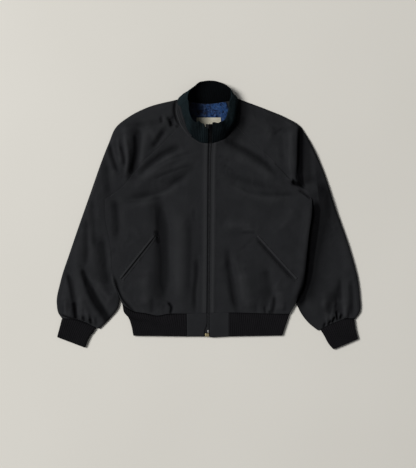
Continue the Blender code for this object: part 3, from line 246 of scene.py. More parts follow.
# The largest folds, as in the solids, but for the second and the third of the right sleeve,
# which lie 7 mm nearer the middle here. bow is how far the line bends at its middle.
Fold = namedtuple("Fold", "x0 y0 x1 y1 bow half_width height")
FOLDS_FRONT_LEFT = [
    Fold(48, 215, 184, 128, 6, 16, -2.2),
    Fold(62, 178, 205, 92, 8, 26, 4.6),
    Fold(20, 141, 239, 67, -10, 20, -2.4),
    Fold(45, 92, 235, 30, -8, 30, 3.6),
    Fold(40, -34, 142, -38, 6, 22, 3.2),
    Fold(262, 24, 200, -48, 0, 20, 2.6),
    Fold(55, -160, 80, -284, 6, 22, -2.2),
    Fold(100, -150, 122, -284, 0, 28, 4.2),
    Fold(150, -205, 172, -288, 4, 24, -2.0),
    Fold(205, -215, 214, -286, 0, 26, 3.4),
]
FOLDS_FRONT_RIGHT = [
    Fold(-73, 217, -192, 126, -6, 17, -2.4),
    Fold(-78, 182, -205, 92, -8, 26, 4.8),
    Fold(-54, 135, -241, 46, 10, 20, -2.4),
    Fold(-70, 96, -232, 26, 6, 28, 3.4),
    Fold(-72, 46, -76, -270, -2, 30, 3.8),
    Fold(-137, 45, -116, -275, 3, 26, -3.2),
    Fold(-186, -170, -184, -278, 0, 26, 3.6),
]
FOLDS_SLEEVE_LEFT = [
    Fold(240, 268, 239, 108, 5, 22, 5.0),
    Fold(271, 256, 263, 92, -3, 17, -4.2),
    Fold(296, 214, 300, 90, 6, 24, 2.8),
    Fold(110, 300, 196, 196, 8, 26, 3.0),
    Fold(330, 78, 356, -80, 4, 30, 2.6),
    Fold(381, -190, 388, -306, -4, 14, -3.6),
    Fold(336, -236, 352, -320, 0, 14, 3.2),
    Fold(402, -258, 404, -304, 0, 12, 3.4),
    Fold(368, -262, 366, -314, 0, 11, 3.0),
]
FOLDS_SLEEVE_RIGHT = [
    Fold(-176, 262, -205, 122, -5, 20, 3.6),
    Fold(-198, 265, -218, 104, 3, 19, -4.6),
    Fold(-243, 250, -237, 98, 5, 19, 4.6),
    Fold(-110, 296, -160, 214, -6, 24, 2.4),
    Fold(-330, 70, -352, -86, -4, 30, 2.6),
    Fold(-363, -176, -305, -300, -6, 14, -3.8),
    Fold(-406, -160, -389, -302, 3, 14, -3.2),
    Fold(-374, -226, -360, -312, 0, 14, 3.4),
    Fold(-420, -244, -414, -300, 0, 11, 3.2),
]

# Smaller creases placed on top of those folds. route is the middle of the flank
# that shows the crease, its lit flank for a ridge and its shaded one for a
# trough, so that the crease's own middle lies a little further from the light.
# left and right are its half widths on either side of the run, and height is
# above the cloth, or below it where it is negative.
Crease = namedtuple("Crease", "route left right height")
SHADE_SIDE = np.array([0.97, -0.24])    # away from the light, in plan
FLANK = 0.5             # a crease's middle lies this share of its half width past its flank
ROUTE_POINTS = 24
CREASE_ENDS = 0.2       # share of its route over which a crease fades at either end
SHADE_ENDS = 0.12       # the same for a shade
SHADE_CORE = 1.5        # a shade is full where its form, times this, is over 1
RIDGE_GAIN = 1.3
TROUGH_GAIN = 1.6
CREASES_RIGHT = [
    # from the neck to the underarm
    Crease([(-97, 336), (-97, 305), (-86, 266), (-62, 239), (-40, 223), (-24, 215), (-6, 212)], 2.6, 3, 1.5),
    Crease([(-101, 334), (-102, 300), (-94, 272)], 3, 4, -2.2),
    Crease([(-107, 292), (-107, 258)], 6, 9, -1.8),
    Crease([(-116, 282), (-108, 262)], 5, 6, -2.2),
    Crease([(-130, 252), (-146, 230), (-168, 198)], 10, 12, -2.4),
    Crease([(-141, 290), (-140, 268)], 6, 8, -1.6),
    Crease([(-178, 252), (-166, 228), (-152, 205)], 12, 14, 1.4),
    Crease([(-214, 262), (-214, 225), (-214, 195), (-218, 165), (-226, 138), (-236, 110)], 12, 15, -2.2),
    Crease([(-250, 245), (-245, 210), (-240, 185), (-239, 160), (-243, 130), (-248, 105)], 10, 8, 2.6),
    Crease([(-258, 205), (-250, 180), (-246, 155), (-248, 140)], 4, 6, -1.8),
    Crease([(-268, 235), (-266, 200), (-262, 170), (-258, 140)], 7, 7, 1.4),
    Crease([(-291, 212), (-284, 175), (-273, 142), (-266, 118)], 6, 9, -2.0),
    Crease([(-306, 160), (-301, 100), (-296, 50)], 14, 14, -1.3),
    # dragged across the front by the sleeve
    Crease([(-78, 207), (-125, 187), (-160, 165), (-187, 143), (-212, 116)], 15, 12, -2.2),
    Crease([(-50, 137), (-75, 117), (-105, 98), (-125, 80), (-150, 70), (-190, 60), (-235, 52)],
           13, 11, -1.7),
    Crease([(-50, 168), (-100, 146), (-165, 122)], 9, 9, 0.8),
    Crease([(-34, 190), (-85, 176), (-140, 152), (-185, 122)], 7, 7, -0.8),
    Crease([(-40, 152), (-95, 134), (-170, 104)], 6, 6, -0.7),
    Crease([(-120, 60), (-170, 48), (-250, 38)], 9, 9, -0.9),
    # down the front
    Crease([(-152, 44), (-147, 0), (-142, -30), (-140, -60), (-140, -100), (-138, -140), (-138, -180),
            (-142, -260)], 15, 22, -3.0),
    Crease([(-162, 30), (-160, -20), (-158, -60)], 5, 12, 1.0),
    Crease([(-108, 44), (-106, -20), (-104, -100), (-105, -180), (-100, -270)], 26, 30, 1.8),
    Crease([(-60, 0), (-58, -90), (-60, -180), (-58, -260)], 10, 12, -0.8),
    Crease([(-37, -120), (-38, -180), (-43, -215), (-43, -284)], 8, 9, -1.4),
    Crease([(-281, 50), (-275, -5), (-273, -70)], 16, 14, -1.9),
    Crease([(-150, -50), (-149, -85)], 8, 10, -1.8),
    Crease([(-235, -30), (-205, -70), (-185, -95)], 14, 14, 0.6),
    # at the hem
    Crease([(-121, -255), (-110, -268), (-112, -290)], 5, 6, -2.6),
    Crease([(-284, -165), (-279, -200), (-264, -235), (-254, -256)], 4, 4, 2.0),
    Crease([(-274, -180), (-264, -220), (-254, -243), (-238, -262), (-215, -280)], 5, 5, -1.5),
    Crease([(-168, -240), (-170, -292)], 9, 9, -0.9),
    # down the sleeve to the cuff
    Crease([(-322, -50), (-314, -110), (-309, -160), (-298, -215)], 17, 18, -2.4),
    Crease([(-360, 0), (-362, -60), (-362, -120), (-372, -165)], 13, 12, -1.8),
    Crease([(-345, 60), (-342, 0), (-340, -60), (-330, -110)], 14, 14, -1.6),
    Crease([(-330, 30), (-340, -30), (-350, -90), (-345, -160)], 16, 16, 0.8),
    Crease([(-382, -60), (-392, -120), (-396, -165)], 14, 14, 0.7),
    Crease([(-368, -172), (-352, -208), (-336, -240), (-318, -270), (-292, -305)], 9, 14, -3.2),
    Crease([(-330, -195), (-316, -220), (-300, -240), (-285, -262)], 14, 10, 1.6),
    Crease([(-418, -165), (-406, -195), (-399, -228), (-394, -255), (-391, -304)], 5, 7, -3.0),
    Crease([(-384, -262), (-381, -298)], 5, 5, 1.2),
    Crease([(-410, -270), (-407, -298)], 8, 7, 1.4),
    Crease([(-424, -245), (-425, -292)], 4, 5, -1.0),
    Crease([(-368, -268), (-365, -310)], 5, 6, -1.4),
    Crease([(-376, -286), (-373, -308)], 3, 4, 1.3),
    Crease([(-356, -284), (-352, -312)], 6, 5, 1.6),
    Crease([(-348, -292), (-343, -316)], 3, 4, -1.4),
    Crease([(-340, -300), (-336, -320)], 4, 4, 1.4),
    Crease([(-330, -300), (-328, -324)], 4, 4, -1.0),
]
CREASES_LEFT = [
    # from the neck to the underarm
    Crease([(100, 290), (98, 262)], 10, 10, -0.8),
    Crease([(150, 290), (166, 262), (174, 235)], 14, 14, 0.6),
    Crease([(190, 236), (202, 245), (216, 256)], 5, 5, -0.9),
    Crease([(218, 250), (220, 205), (222, 150)], 9, 9, 0.8),
    Crease([(196, 200), (200, 175), (203, 152)], 8, 8, 0.6),
    Crease([(234, 252), (236, 205), (238, 158), (241, 112)], 10, 22, 1.2),
    Crease([(262, 250), (263, 200), (261, 150), (255, 108)], 20, 6, -4.6),
    Crease([(256, 250), (256, 200), (254, 150), (249, 112)], 4, 12, 2.2),
    Crease([(300, 200), (304, 150), (306, 100)], 12, 12, 0.6),
    Crease([(247, 102), (251, 88)], 4, 4, -3.0),
    Crease([(256, 112), (266, 92), (280, 74)], 8, 5, -4.0),
    Crease([(262, 72), (280, 60), (300, 45)], 4, 4, -1.6),
    Crease([(258, 84), (280, 72), (300, 58)], 4, 4, 1.6),
    # dragged across the front by the sleeve
    Crease([(50, 218), (75, 202), (105, 187), (130, 172), (155, 156), (175, 138), (192, 118)], 13, 11, -2.2),
    Crease([(75, 95), (110, 80), (140, 70), (190, 65), (260, 65)], 12, 10, -1.6),
    Crease([(25, 170), (45, 163), (62, 154)], 7, 7, -0.6),
    Crease([(40, 145), (58, 135), (77, 124)], 7, 7, -0.7),
    Crease([(70, 92), (110, 72), (160, 56)], 12, 12, 0.6),
    # down the front
    Crease([(96, -42), (118, -41), (140, -42)], 4, 4, 0.7),
    Crease([(96, -50), (118, -50), (140, -51)], 4, 5, -0.7),
    Crease([(130, -65), (105, -88), (80, -110)], 8, 10, -0.5),
    Crease([(55, -95), (52, -130), (56, -160)], 12, 12, -0.8),
    Crease([(260, 15), (220, -10), (195, -35)], 10, 10, -0.5),
    Crease([(51, -110), (57, -160), (63, -200), (69, -240), (76, -265), (84, -285)], 10, 13, -1.6),
    Crease([(88, -170), (92, -215), (96, -260)], 12, 12, 0.8),
    Crease([(158, -150), (166, -200), (174, -255)], 17, 20, -1.6),
    # at the hem
    Crease([(163, -266), (164, -288)], 4, 4, -1.1),
    Crease([(177, -254), (177, -282)], 4, 3, 1.5),
    Crease([(190, -236), (190, -262), (184, -290)], 6, 6, -1.6),
    Crease([(110, -250), (112, -284)], 9, 9, 0.5),
    Crease([(135, -260), (136, -286)], 7, 7, -0.5),
    Crease([(222, -252), (220, -286)], 8, 8, -0.7),
    # down the sleeve to the cuff
    Crease([(345, 60), (356, 0), (366, -60)], 18, 18, 0.9),
    Crease([(376, -60), (390, -120), (398, -180)], 16, 16, 0.9),
    Crease([(383, -180), (383, -225), (388, -262)], 7, 8, -0.8),
    Crease([(413, -185), (416, -240), (414, -290)], 9, 9, -1.0),
    Crease([(366, -225), (356, -255), (340, -288)], 13, 14, -1.1),
    Crease([(372, -240), (370, -268), (364, -290)], 6, 6, -1.0),
    Crease([(373, -280), (375, -306)], 4, 4, -1.8),
    Crease([(388, -288), (384, -304)], 4, 3, -1.4),
    Crease([(368, -296), (361, -314)], 4, 4, -1.8),
    Crease([(356, -306), (350, -321)], 4, 4, -1.6),
    Crease([(340, -312), (337, -327)], 4, 4, -1.4),
    Crease([(358, -284), (355, -310)], 5, 5, 1.6),
    Crease([(344, -300), (343, -318)], 4, 4, 1.4),
    Crease([(381, -284), (379, -304)], 3, 3, 1.4),
    Crease([(397, -266), (395, -302)], 7, 7, 1.2),
    Crease([(408, -284), (407, -304)], 5, 5, -1.0),
]

# Painted shade: where the cloth lies so deep in a fold, or so close beside a higher piece,
# that little light reaches it, its colour, ridge lightening too, is painted towards DEEP_SHADE. amount is 1
# for fully dark.
Shade = namedtuple("Shade", "route left right amount")
SHADES_RIGHT = [
    # from the neck to the underarm
    Shade([(-218, 268), (-217, 235), (-216, 200), (-220, 165), (-228, 130), (-236, 100)], 17, 17, 0.35),
    Shade([(-217, 240), (-214, 205), (-215, 175), (-222, 145), (-232, 112)], 9, 9, 0.75),
    Shade([(-245, 262), (-205, 262), (-175, 268), (-135, 272)], 10, 10, 0.22),
    Shade([(-122, 288), (-115, 275), (-110, 256)], 5, 7, 0.55),
    Shade([(-113, 276), (-110, 258)], 5, 5, 0.9),
    Shade([(-97, 262), (-88, 256)], 5, 5, 0.5),
    Shade([(-98, 340), (-99, 300), (-93, 274), (-84, 260)], 4, 3, 0.85),
    Shade([(-141, 284), (-138, 268)], 6, 6, 0.45),
    Shade([(-128, 256), (-142, 234), (-170, 196)], 9, 9, 0.3),
    Shade([(-78, 207), (-125, 186), (-160, 163), (-188, 140), (-214, 112)], 14, 11, 0.28),
    Shade([(-50, 143), (-100, 104), (-128, 82), (-160, 68), (-240, 50)], 13, 12, 0.24),
    Shade([(-259, 205), (-251, 175), (-247, 145)], 5, 6, 0.3),
    Shade([(-292, 210), (-284, 168), (-270, 128)], 7, 9, 0.4),
    Shade([(-308, 170), (-302, 100), (-297, 40)], 18, 14, 0.22),
    # down the front
    Shade([(-158, 50), (-152, 0), (-144, -60), (-143, -150), (-146, -262)], 22, 26, 0.42),
    Shade([(-157, -42), (-149, -62), (-145, -86)], 9, 10, 0.75),
    Shade([(-281, 50), (-275, -5), (-274, -70)], 15, 13, 0.27),
    Shade([(-38, -120), (-39, -190), (-43, -230), (-44, -284)], 9, 9, 0.25),
    # the pocket's mouth
    Shade([(-155, -62), (-255, -188)], 3, 3, 0.8),
    # at the hem and the side
    Shade([(-276, -180), (-263, -222), (-252, -246), (-238, -264), (-214, -284)], 3, 3, 0.7),
    Shade([(-120, -255), (-109, -270), (-113, -290)], 4, 4, 0.75),
    Shade([(-316, -70), (-311, -130), (-302, -210)], 16, 16, 0.3),
    Shade([(-360, -10), (-359, -70), (-364, -130)], 12, 12, 0.22),
    Shade([(-344, 50), (-341, -20), (-336, -95)], 12, 12, 0.18),
    # at the cuff
    Shade([(-372, -150), (-358, -195), (-348, -215), (-335, -242), (-318, -268), (-290, -304)], 9, 9, 0.75),
    Shade([(-352, -205), (-337, -240), (-318, -272), (-288, -318)], 15, 13, 0.75),
    Shade([(-412, -172), (-401, -215), (-396, -250)], 7, 7, 0.35),
    Shade([(-394, -252), (-390, -280), (-388, -308)], 6, 7, 1.0),
    Shade([(-434, -289), (-410, -299), (-385, -305), (-360, -315), (-338, -328)], 3, 3, 0.85),
    Shade([(-368, -296), (-364, -312)], 5, 5, 0.7),
    Shade([(-348, -302), (-343, -318)], 5, 5, 0.8),
    Shade([(-414, -240), (-412, -285)], 8, 8, 0.2),
]
SHADES_LEFT = [
    # beside the collar
    Shade([(92, 346), (90, 300), (86, 274), (72, 250), (56, 228), (36, 214)], 38, 8, 0.65),
    Shade([(106, 334), (120, 292), (118, 250)], 32, 28, 0.2),
    Shade([(140, 300), (185, 284), (232, 266)], 20, 20, 0.14),
    # from the neck to the underarm
    Shade([(268, 268), (266, 225), (265, 190), (265, 150), (266, 115), (268, 96), (270, 70)], 18, 10, 1.0),
    Shade([(276, 262), (279, 225), (280, 180), (281, 130), (284, 80)], 28, 14, 0.6),
    Shade([(240, 96), (256, 92), (274, 84)], 9, 9, 1.0),
    Shade([(262, 72), (280, 60), (298, 46)], 4, 3, 0.6),
    Shade([(48, 218), (75, 201), (105, 186), (130, 171), (155, 155), (190, 122)], 13, 11, 0.26),
    Shade([(190, 155), (215, 128), (240, 102)], 2, 2, 0.4),
    # beside the body
    Shade([(316, 58), (314, 14), (307, -52), (297, -120), (290, -175), (284, -200), (270, -240),
           (262, -285)], 24, 20, 1.0),
    Shade([(318, 110), (325, 14), (311, -52), (296, -120), (282, -190), (262, -270)], 50, 5, 0.72),
    # down the front
    Shade([(50, -100), (56, -160), (63, -200), (69, -240), (84, -288)], 12, 11, 0.2),
    Shade([(66, -225), (71, -250), (82, -286)], 6, 6, 0.3),
    Shade([(156, -160), (163, -205), (172, -255)], 19, 19, 0.2),
    Shade([(190, -236), (190, -262), (182, -292)], 6, 6, 0.4),
    Shade([(178, -278), (180, -294)], 4, 4, 0.6),
    Shade([(163, -268), (166, -290)], 4, 4, 0.35),
    # the pocket's mouth
    Shade([(138, -68), (194, -131), (250, -193)], 5, 7, 0.6),
    # at the cuff
    Shade([(366, -222), (358, -250), (342, -290)], 18, 18, 0.35),
    Shade([(372, -250), (366, -290)], 6, 7, 0.4),
    Shade([(382, -190), (383, -245)], 6, 8, 0.25),
    Shade([(413, -200), (416, -240), (413, -296)], 9, 9, 0.28),
    Shade([(372, -278), (376, -308)], 4, 4, 1.0),
    Shade([(369, -296), (360, -316)], 4, 4, 1.0),
    Shade([(357, -308), (348, -322)], 4, 4, 0.9),
    Shade([(340, -316), (334, -330)], 4, 4, 0.8),
    Shade([(390, -290), (384, -304)], 4, 4, 0.85),
    Shade([(394, -303), (428, -304)], 3, 3, 0.95),
]

UNDERARM_AT = 0.42      # share of a front's height that lies above the underarm
SIDE_END_AT = 0.9       # share of the body's side that lies beside the sleeve
UNDERARM_END_AT = 0.75  # share of the sleeve's inner edge that lies beside the body


# ------------------------------------------------------- curves and patches

def smooth(places, rows, at):
    """Rows of values, one at each of the places, read smoothly at other places."""
    slopes = np.gradient(rows, places, axis=0)
    span = np.clip(np.searchsorted(places, at, side="right") - 1, 0, len(places) - 2)
    length = (places[span + 1] - places[span])[:, None]
    s = (at - places[span])[:, None] / length
    return ((2 * s**3 - 3 * s**2 + 1) * rows[span] + (s**3 - 2 * s**2 + s) * length * slopes[span]
            + (3 * s**2 - 2 * s**3) * rows[span + 1] + (s**3 - s**2) * length * slopes[span + 1])


def lengths_along(points):
    return np.r_[0.0, np.cumsum(np.linalg.norm(np.diff(points, axis=0), axis=1))]


def chain_of_lines(points):
    """Straight lines through the points, as a function of the share of their length."""
    knots = np.array(points, float)
    walked = lengths_along(knots)

    def at(share):
        distance = np.asarray(share, float) * walked[-1]
        return np.stack([np.interp(distance, walked, axis) for axis in knots.T], axis=-1)

    return at


def spline(points):
    """Smooth curve through the points, as a function of the share of its length."""
    knots = np.array(points, float)
    reach = lengths_along(knots)
    return chain_of_lines(smooth(reach, knots, np.linspace(0.0, reach[-1], 400)))


def sampled(curve, count):
    """Points of a curve, evenly spaced from its start to its end."""
    return curve(np.linspace(0, 1, count))


def joined(first, second, at_share):
    """Two curves end to end; the first takes at_share of the whole."""
    def at(share):
        share = np.asarray(share, float)
        early = first(np.clip(share / at_share, 0.0, 1.0))
        late = second(np.clip((share - at_share) / (1.0 - at_share), 0.0, 1.0))
        return np.where((share <= at_share)[..., None], early, late)

    return at


def patch(start, end, top, bottom, u, v):
    """Points spread between four edges: start and end run with u, top and bottom with v."""
    u, v = u[..., None], v[..., None]
    corners = ((1 - u) * ((1 - v) * top(0.0) + v * top(1.0))
               + u * ((1 - v) * bottom(0.0) + v * bottom(1.0)))
    sides = (1 - v) * start(u[..., 0]) + v * end(u[..., 0])
    ends = (1 - u) * top(v[..., 0]) + u * bottom(v[..., 0])
    return sides + ends - corners


def spread(length, step, close_at_start=True, close_at_end=True):
    """Shares of a length, a step apart and closer together at its ends."""
    stations = np.array(EDGE_STATIONS) / length
    first = stations if close_at_start else np.zeros(1)
    last = 1 - stations[::-1] if close_at_end else np.ones(1)
    return np.r_[first, np.linspace(first[-1], last[0], max(2, round(length / step)))[1:-1], last]


def rows_past_underarm(length, step):
    """Shares of the way down, with one row exactly at the underarm, and the number of that row."""
    above = UNDERARM_AT * spread(length * UNDERARM_AT, step, close_at_end=False)
    below = 1 - UNDERARM_AT
    rest = UNDERARM_AT + below * spread(length * below, step, close_at_start=False)
    return np.r_[above, rest[1:]], len(above) - 1


def grid(start, end, top, bottom, rows, step, columns=None):
    """Plan points of a piece, row by row, with closer columns at its sides."""
    widths = np.linalg.norm(end(rows) - start(rows), axis=-1)
    columns = columns or max(2, round(widths.mean() / step))
    stations = np.array(EDGE_STATIONS)
    shares = []
    for width in widths:
        first, last = stations / width, 1 - stations[::-1] / width
        shares.append(np.r_[first, np.linspace(first[-1], last[0], columns)[1:-1], last])
    v = np.array(shares)
    return patch(start, end, top, bottom, np.repeat(rows[:, None], v.shape[1], axis=1), v)


# ----------------------------------------------------------- heights, folds

def smooth_step(x):
    x = np.clip(x, 0, 1)
    return x * x * (3 - 2 * x)


def distance_to(line, points):
    """Distance in plan from each point to a chain of straight lines."""
    start, step = line[:-1], np.diff(line, axis=0)
    kept = (step**2).sum(-1) > 1e-6
    nearest = np.full(points.shape[:-1], np.inf)
    for origin, run in zip(start[kept], step[kept]):
        offset = points - origin
        share = np.clip((offset @ run) / (run @ run), 0, 1)
        nearest = np.minimum(nearest, np.linalg.norm(offset - share[..., None] * run, axis=-1))
    return nearest


# An edge at which the cloth turns down over a width. Above SIDE_OPENS, where the body
# and the sleeve lie together, it stays up by the held share. A higher power turns it softly.
Turn = namedtuple("Turn", "curve width held power", defaults=(0.0, 1.0))
SIDE_OPENS = (-255.0, -205.0)


def turned(points, edges):
    """0 on a turned edge, rising to 1 as a quarter ellipse over its width."""
    rise = np.ones(points.shape[:-1])
    beside_body = smooth_step((points[..., 1] - SIDE_OPENS[0]) / (SIDE_OPENS[1] - SIDE_OPENS[0]))
    for edge in edges:
        turn = Turn(*edge)
        near = np.clip(distance_to(sampled(turn.curve, 90), points) / turn.width, 0, 1)
        low = 1 - np.sqrt(1 - (1 - near)**2)**turn.power
        rise = rise * (1 - low * (1 - turn.held * beside_body))
    return rise


def fold_heights(points, folds):
    """Sum of the large folds' heights: soft ridges and troughs that fade at their ends."""
    total = np.zeros(points.shape[:-1])
    for fold in folds:
        start, end = np.array([fold.x0, fold.y0]), np.array([fold.x1, fold.y1])
        run = end - start
        side = np.array([-run[1], run[0]]) / np.linalg.norm(run)
        share = np.clip(((points - start) @ run) / (run @ run), 0, 1)
        middle = start + share[..., None] * run + (fold.bow * 4 * share * (1 - share))[..., None] * side
        away = np.linalg.norm(points - middle, axis=-1) / fold.half_width
        fade = np.clip(4 * share, 0.35, 1) * np.clip(4 * (1 - share), 0.35, 1)
        total += fold.height * fade * np.exp(-(1.35 * away)**2)
    return total


def away_from_light(line):
    """Unit plan vector square to a line's run, on the side away from the light."""
    run = (line[-1] - line[0]) / np.linalg.norm(line[-1] - line[0])
    square = np.array([-run[1], run[0]])
    return square if square @ SHADE_SIDE > 0 else -square


def beside_line(points, line, left, right, ends):
    """Which points lie near a line, and how much of a soft form placed on it they get.

    The form is 1 on the line, has its own half width on either side, and fades over a
    share of the line at both ends.
    """
    reach = 2.2 * max(left, right)
    near = ((points > line.min(0) - reach) & (points < line.max(0) + reach)).all(-1)
    spots = points[near]
    start, step = line[:-1], np.diff(line, axis=0)
    offset = spots[:, None] - start
    share = np.clip((offset * step).sum(-1) / (step**2).sum(-1), 0, 1)
    away = np.linalg.norm(offset - share[..., None] * step, axis=-1)
    nearest = (np.arange(len(spots)), away.argmin(1))
    run = step[nearest[1]] / np.linalg.norm(step[nearest[1]], axis=1)[:, None]
    to_left = run[:, 0] * offset[nearest][:, 1] - run[:, 1] * offset[nearest][:, 0]
    away = away[nearest]
    lean = np.clip(to_left / np.maximum(away, 1e-6), -1, 1)
    width = (left * (1 + lean) + right * (1 - lean)) / 2
    along = (nearest[1] + share[nearest]) / len(step)
    fade = np.clip(along / ends, 0.25, 1) * np.clip((1 - along) / ends, 0.25, 1)
    return near, fade * np.exp(-(1.35 * away / width)**2)


def crease_heights(points, creases):
    """Sum of the small creases' heights, each with its own width on either side of its run."""
    total = np.zeros(points.shape[:-1])
    for crease in creases:
        line = sampled(spline(crease.route), ROUTE_POINTS)
        line = line + FLANK * (crease.left + crease.right) / 2 * away_from_light(line)
        near, form = beside_line(points, line, crease.left, crease.right, CREASE_ENDS)
        gain = RIDGE_GAIN if crease.height > 0 else TROUGH_GAIN
        total[near] += gain * crease.height * form
    return total


def deep_shade(points, side):
    """How much painted shade the cloth gets in deep folds and beside higher pieces, from 0 to 1."""
    shade = np.zeros(points.shape[:-1])
    for fold in side.shades:
        line = sampled(spline(fold.route), ROUTE_POINTS)
        near, form = beside_line(points, line, fold.left, fold.right, SHADE_ENDS)
        shade[near] = np.maximum(shade[near], fold.amount * np.minimum(SHADE_CORE * form, 1))
    return shade


def uneven(points, size, seed):
    """Smooth lumps between -1 and 1 over the plan, about a size in mm across."""
    values = np.random.default_rng(seed).uniform(-1, 1, (97, 97))
    place = points / size + 48
    cell = np.floor(place).astype(int)
    part = place - cell
    part = part * part * (3 - 2 * part)
    x, y = part[..., 0], part[..., 1]
    low, high = [[values[(cell[..., 0] + i) % 97, (cell[..., 1] + j) % 97] for i in (0, 1)] for j in (0, 1)]
    return (1 - y) * ((1 - x) * low[0] + x * low[1]) + y * ((1 - x) * high[0] + x * high[1])


def crumpled(points, seed):
    """Slight crumple of worn cloth: thin soft ridges between shallow hollows, in mm."""
    bent = points + 14 * np.stack([uneven(points, 31, seed + 1), uneven(points, 31, seed + 2)], axis=-1)
    broad = uneven(bent, 46, seed + 3)
    thin = 1 - 2 * np.abs(uneven(bent * (1.0, 0.62), 21, seed + 4))
    patchy = np.clip(0.5 + uneven(points, 70, seed + 5), 0, 1)
    return 0.55 * broad + 0.5 * patchy * thin


def seam_relief(points, seams):
    """The cloth beside seams: down at the seam, and lifted by the allowance under it."""
    relief = np.zeros(points.shape[:-1])
    for curve in seams:
        away = distance_to(sampled(curve, 70), points)
        relief -= SEAM_DIP * np.exp(-(away / SEAM_DIP_WIDTH)**2)
        relief += SEAM_ROLL * np.exp(-((away - SEAM_ROLL_AT) / SEAM_ROLL_WIDTH)**2)
    return relief


# ------------------------------------------------------------ body of cloth

# One side of the jacket. A turn is the width, held share and power of Turn, the crown
# and painted highlight of the welts are for the upper and the lower one.
Side = namedtuple("Side", "name sign raglan raglan_back side side_end underarm outer cuff_seam "
                          "cuff_inner cuff_outer neck_front neck_sleeve neck_sleeve_back hem pocket "
                          "folds sleeve_folds creases shades body_turn sleeve_turn side_rise "
                          "welt_crown welt_wear seed")
LEFT = Side("left", 1, RAGLAN_FRONT_LEFT, RAGLAN_BACK_LEFT, SIDE_LEFT, SIDE_END_LEFT, UNDERARM_LEFT,
            SLEEVE_OUTER_LEFT, CUFF_SEAM_LEFT, CUFF_INNER_LEFT, CUFF_OUTER_LEFT, NECK_FRONT_LEFT,
            NECK_SLEEVE_LEFT, NECK_SLEEVE_BACK_LEFT, HEM_LEFT, POCKET_LEFT,
            FOLDS_FRONT_LEFT, FOLDS_SLEEVE_LEFT, CREASES_LEFT, SHADES_LEFT,
            body_turn=(1.2, 0.0, 1.0), sleeve_turn=(SLEEVE_ROLL_LEFT, 0.0, 2.0), side_rise=SIDE_RISE_LEFT,
            welt_crown=(2.2, 0.5), welt_wear=(2.2, 0.0), seed=10)
RIGHT = Side("right", -1, RAGLAN_FRONT_RIGHT, RAGLAN_BACK_RIGHT, SIDE_RIGHT, SIDE_END_RIGHT,
             UNDERARM_RIGHT, SLEEVE_OUTER_RIGHT, CUFF_SEAM_RIGHT, CUFF_INNER_RIGHT, CUFF_OUTER_RIGHT,
             NECK_FRONT_RIGHT, NECK_SLEEVE_RIGHT, NECK_SLEEVE_BACK_RIGHT, HEM_RIGHT, POCKET_RIGHT,
             FOLDS_FRONT_RIGHT, FOLDS_SLEEVE_RIGHT, CREASES_RIGHT, SHADES_RIGHT,
             body_turn=(ROLL, 0.92, 1.0), sleeve_turn=(SLEEVE_ROLL_RIGHT, 0.92, 1.0),
             side_rise=SIDE_RISE_RIGHT, welt_crown=(1.4, 0.9), welt_wear=(1.7, 1.7), seed=40)


def body_side(side):
    """Side edge of the body, from the underarm to the hem."""
    return joined(spline(side.side), spline(side.side_end), SIDE_END_AT)


def beside(points, distance):
    """The points of a line moved sideways in plan by a distance."""
    line = np.array(points, float)
    run = np.gradient(line, axis=0)
    square = np.c_[-run[:, 1], run[:, 0]] / np.linalg.norm(run, axis=1)[:, None]
    return line + distance * square


def sleeve_inner(side):
    """Inner edge of the sleeve: along the body's side, and then by itself to the cuff."""
    along_body = beside(side.side, side.sign * BESIDE_SLEEVE)
    return joined(spline(along_body), spline(np.r_[along_body[-1:], side.underarm[1:]]), UNDERARM_END_AT)


def zip_edge(side):
    """Edge of a front beside the zip, from the neck to the hem."""
    stations = [s for s in ZIP_STATIONS if s.y >= side.hem[0][1]]
    return spline([(s.middle + side.sign * s.half_gap, s.y) for s in reversed(stations)])


def zip_middle(y):
    stations = np.array(ZIP_STATIONS, float)
    return np.interp(y, stations[:, 0], stations[:, 1])


def fold_sum(points, side):
    """All folds, creases and crumple of one side of the jacket."""
    from_zip = np.abs(points[..., 0] - zip_middle(points[..., 1]))
    large = fold_heights(points, side.folds + side.sleeve_folds)
    large = large * np.clip((from_zip - FLAT_BESIDE_ZIP) / FLAT_BESIDE_ZIP, 0, 1)
    small = crease_heights(points, side.creases) + crumpled(points, side.seed)
    return large + small * smooth_step((from_zip - FLAT_AT_ZIP) / CREASES_GROW)


def upper_surface(points, side, edges, seams, puff=0.0):
    """Outer face of the upper layer."""
    rise = turned(points, edges)
    folds = np.maximum(fold_sum(points, side), -DEEPEST_FOLD)
    return UPPER_EDGE + (UPPER_TOP - UPPER_EDGE + puff + folds + seam_relief(points, seams)) * rise


def lower_surface(points, edges, seed):
    """Outer face of the lower layer, which lies on the floor between its turned edges."""
    lifted = np.clip(crumpled(points, seed) - 0.25, 0, None)
    return LOWER_EDGE * (1 - turned(points, edges)) + lifted * turned(points, edges)


def placket(points, side):
    """The cloth over the zip's tape and facing, a little thicker as far as its stitching."""
    away = distance_to(sampled(zip_edge(side), 40), points)
    height = PLACKET_LIFT * (1 - smooth_step((away - PLACKET_AT) / 3.0))
    for at, depth, width in PLACKET_LINES:
        height = height - depth * np.exp(-((away - at) / width)**2)
    return height


def side_rise(points, side):
    """The body's cloth stands higher along its side, above the sleeve beside it."""
    away = distance_to(sampled(body_side(side), 60), points)
    grown, full, fading, gone = SIDE_RISE_ENDS
    y = points[..., 1]
    share = smooth_step((grown - y) / (grown - full)) * smooth_step((y - gone) / (fading - gone))
    return side.side_rise * share * np.exp(-(away / SIDE_RISE_WIDTH)**2)


def front_surface(points, side):
    seams = [spline(side.neck_front), spline(side.raglan), spline(side.hem)]
    edges = [Turn(body_side(side), *side.body_turn)]
    surface = upper_surface(points, side, edges, seams, side_rise(points, side))
    return surface + placket(points, side)


def sleeve_edges(side):
    """The sleeve's turned edges: its outer one, and its inner one below the underarm."""
    return spline(side.outer), sleeve_inner(side)


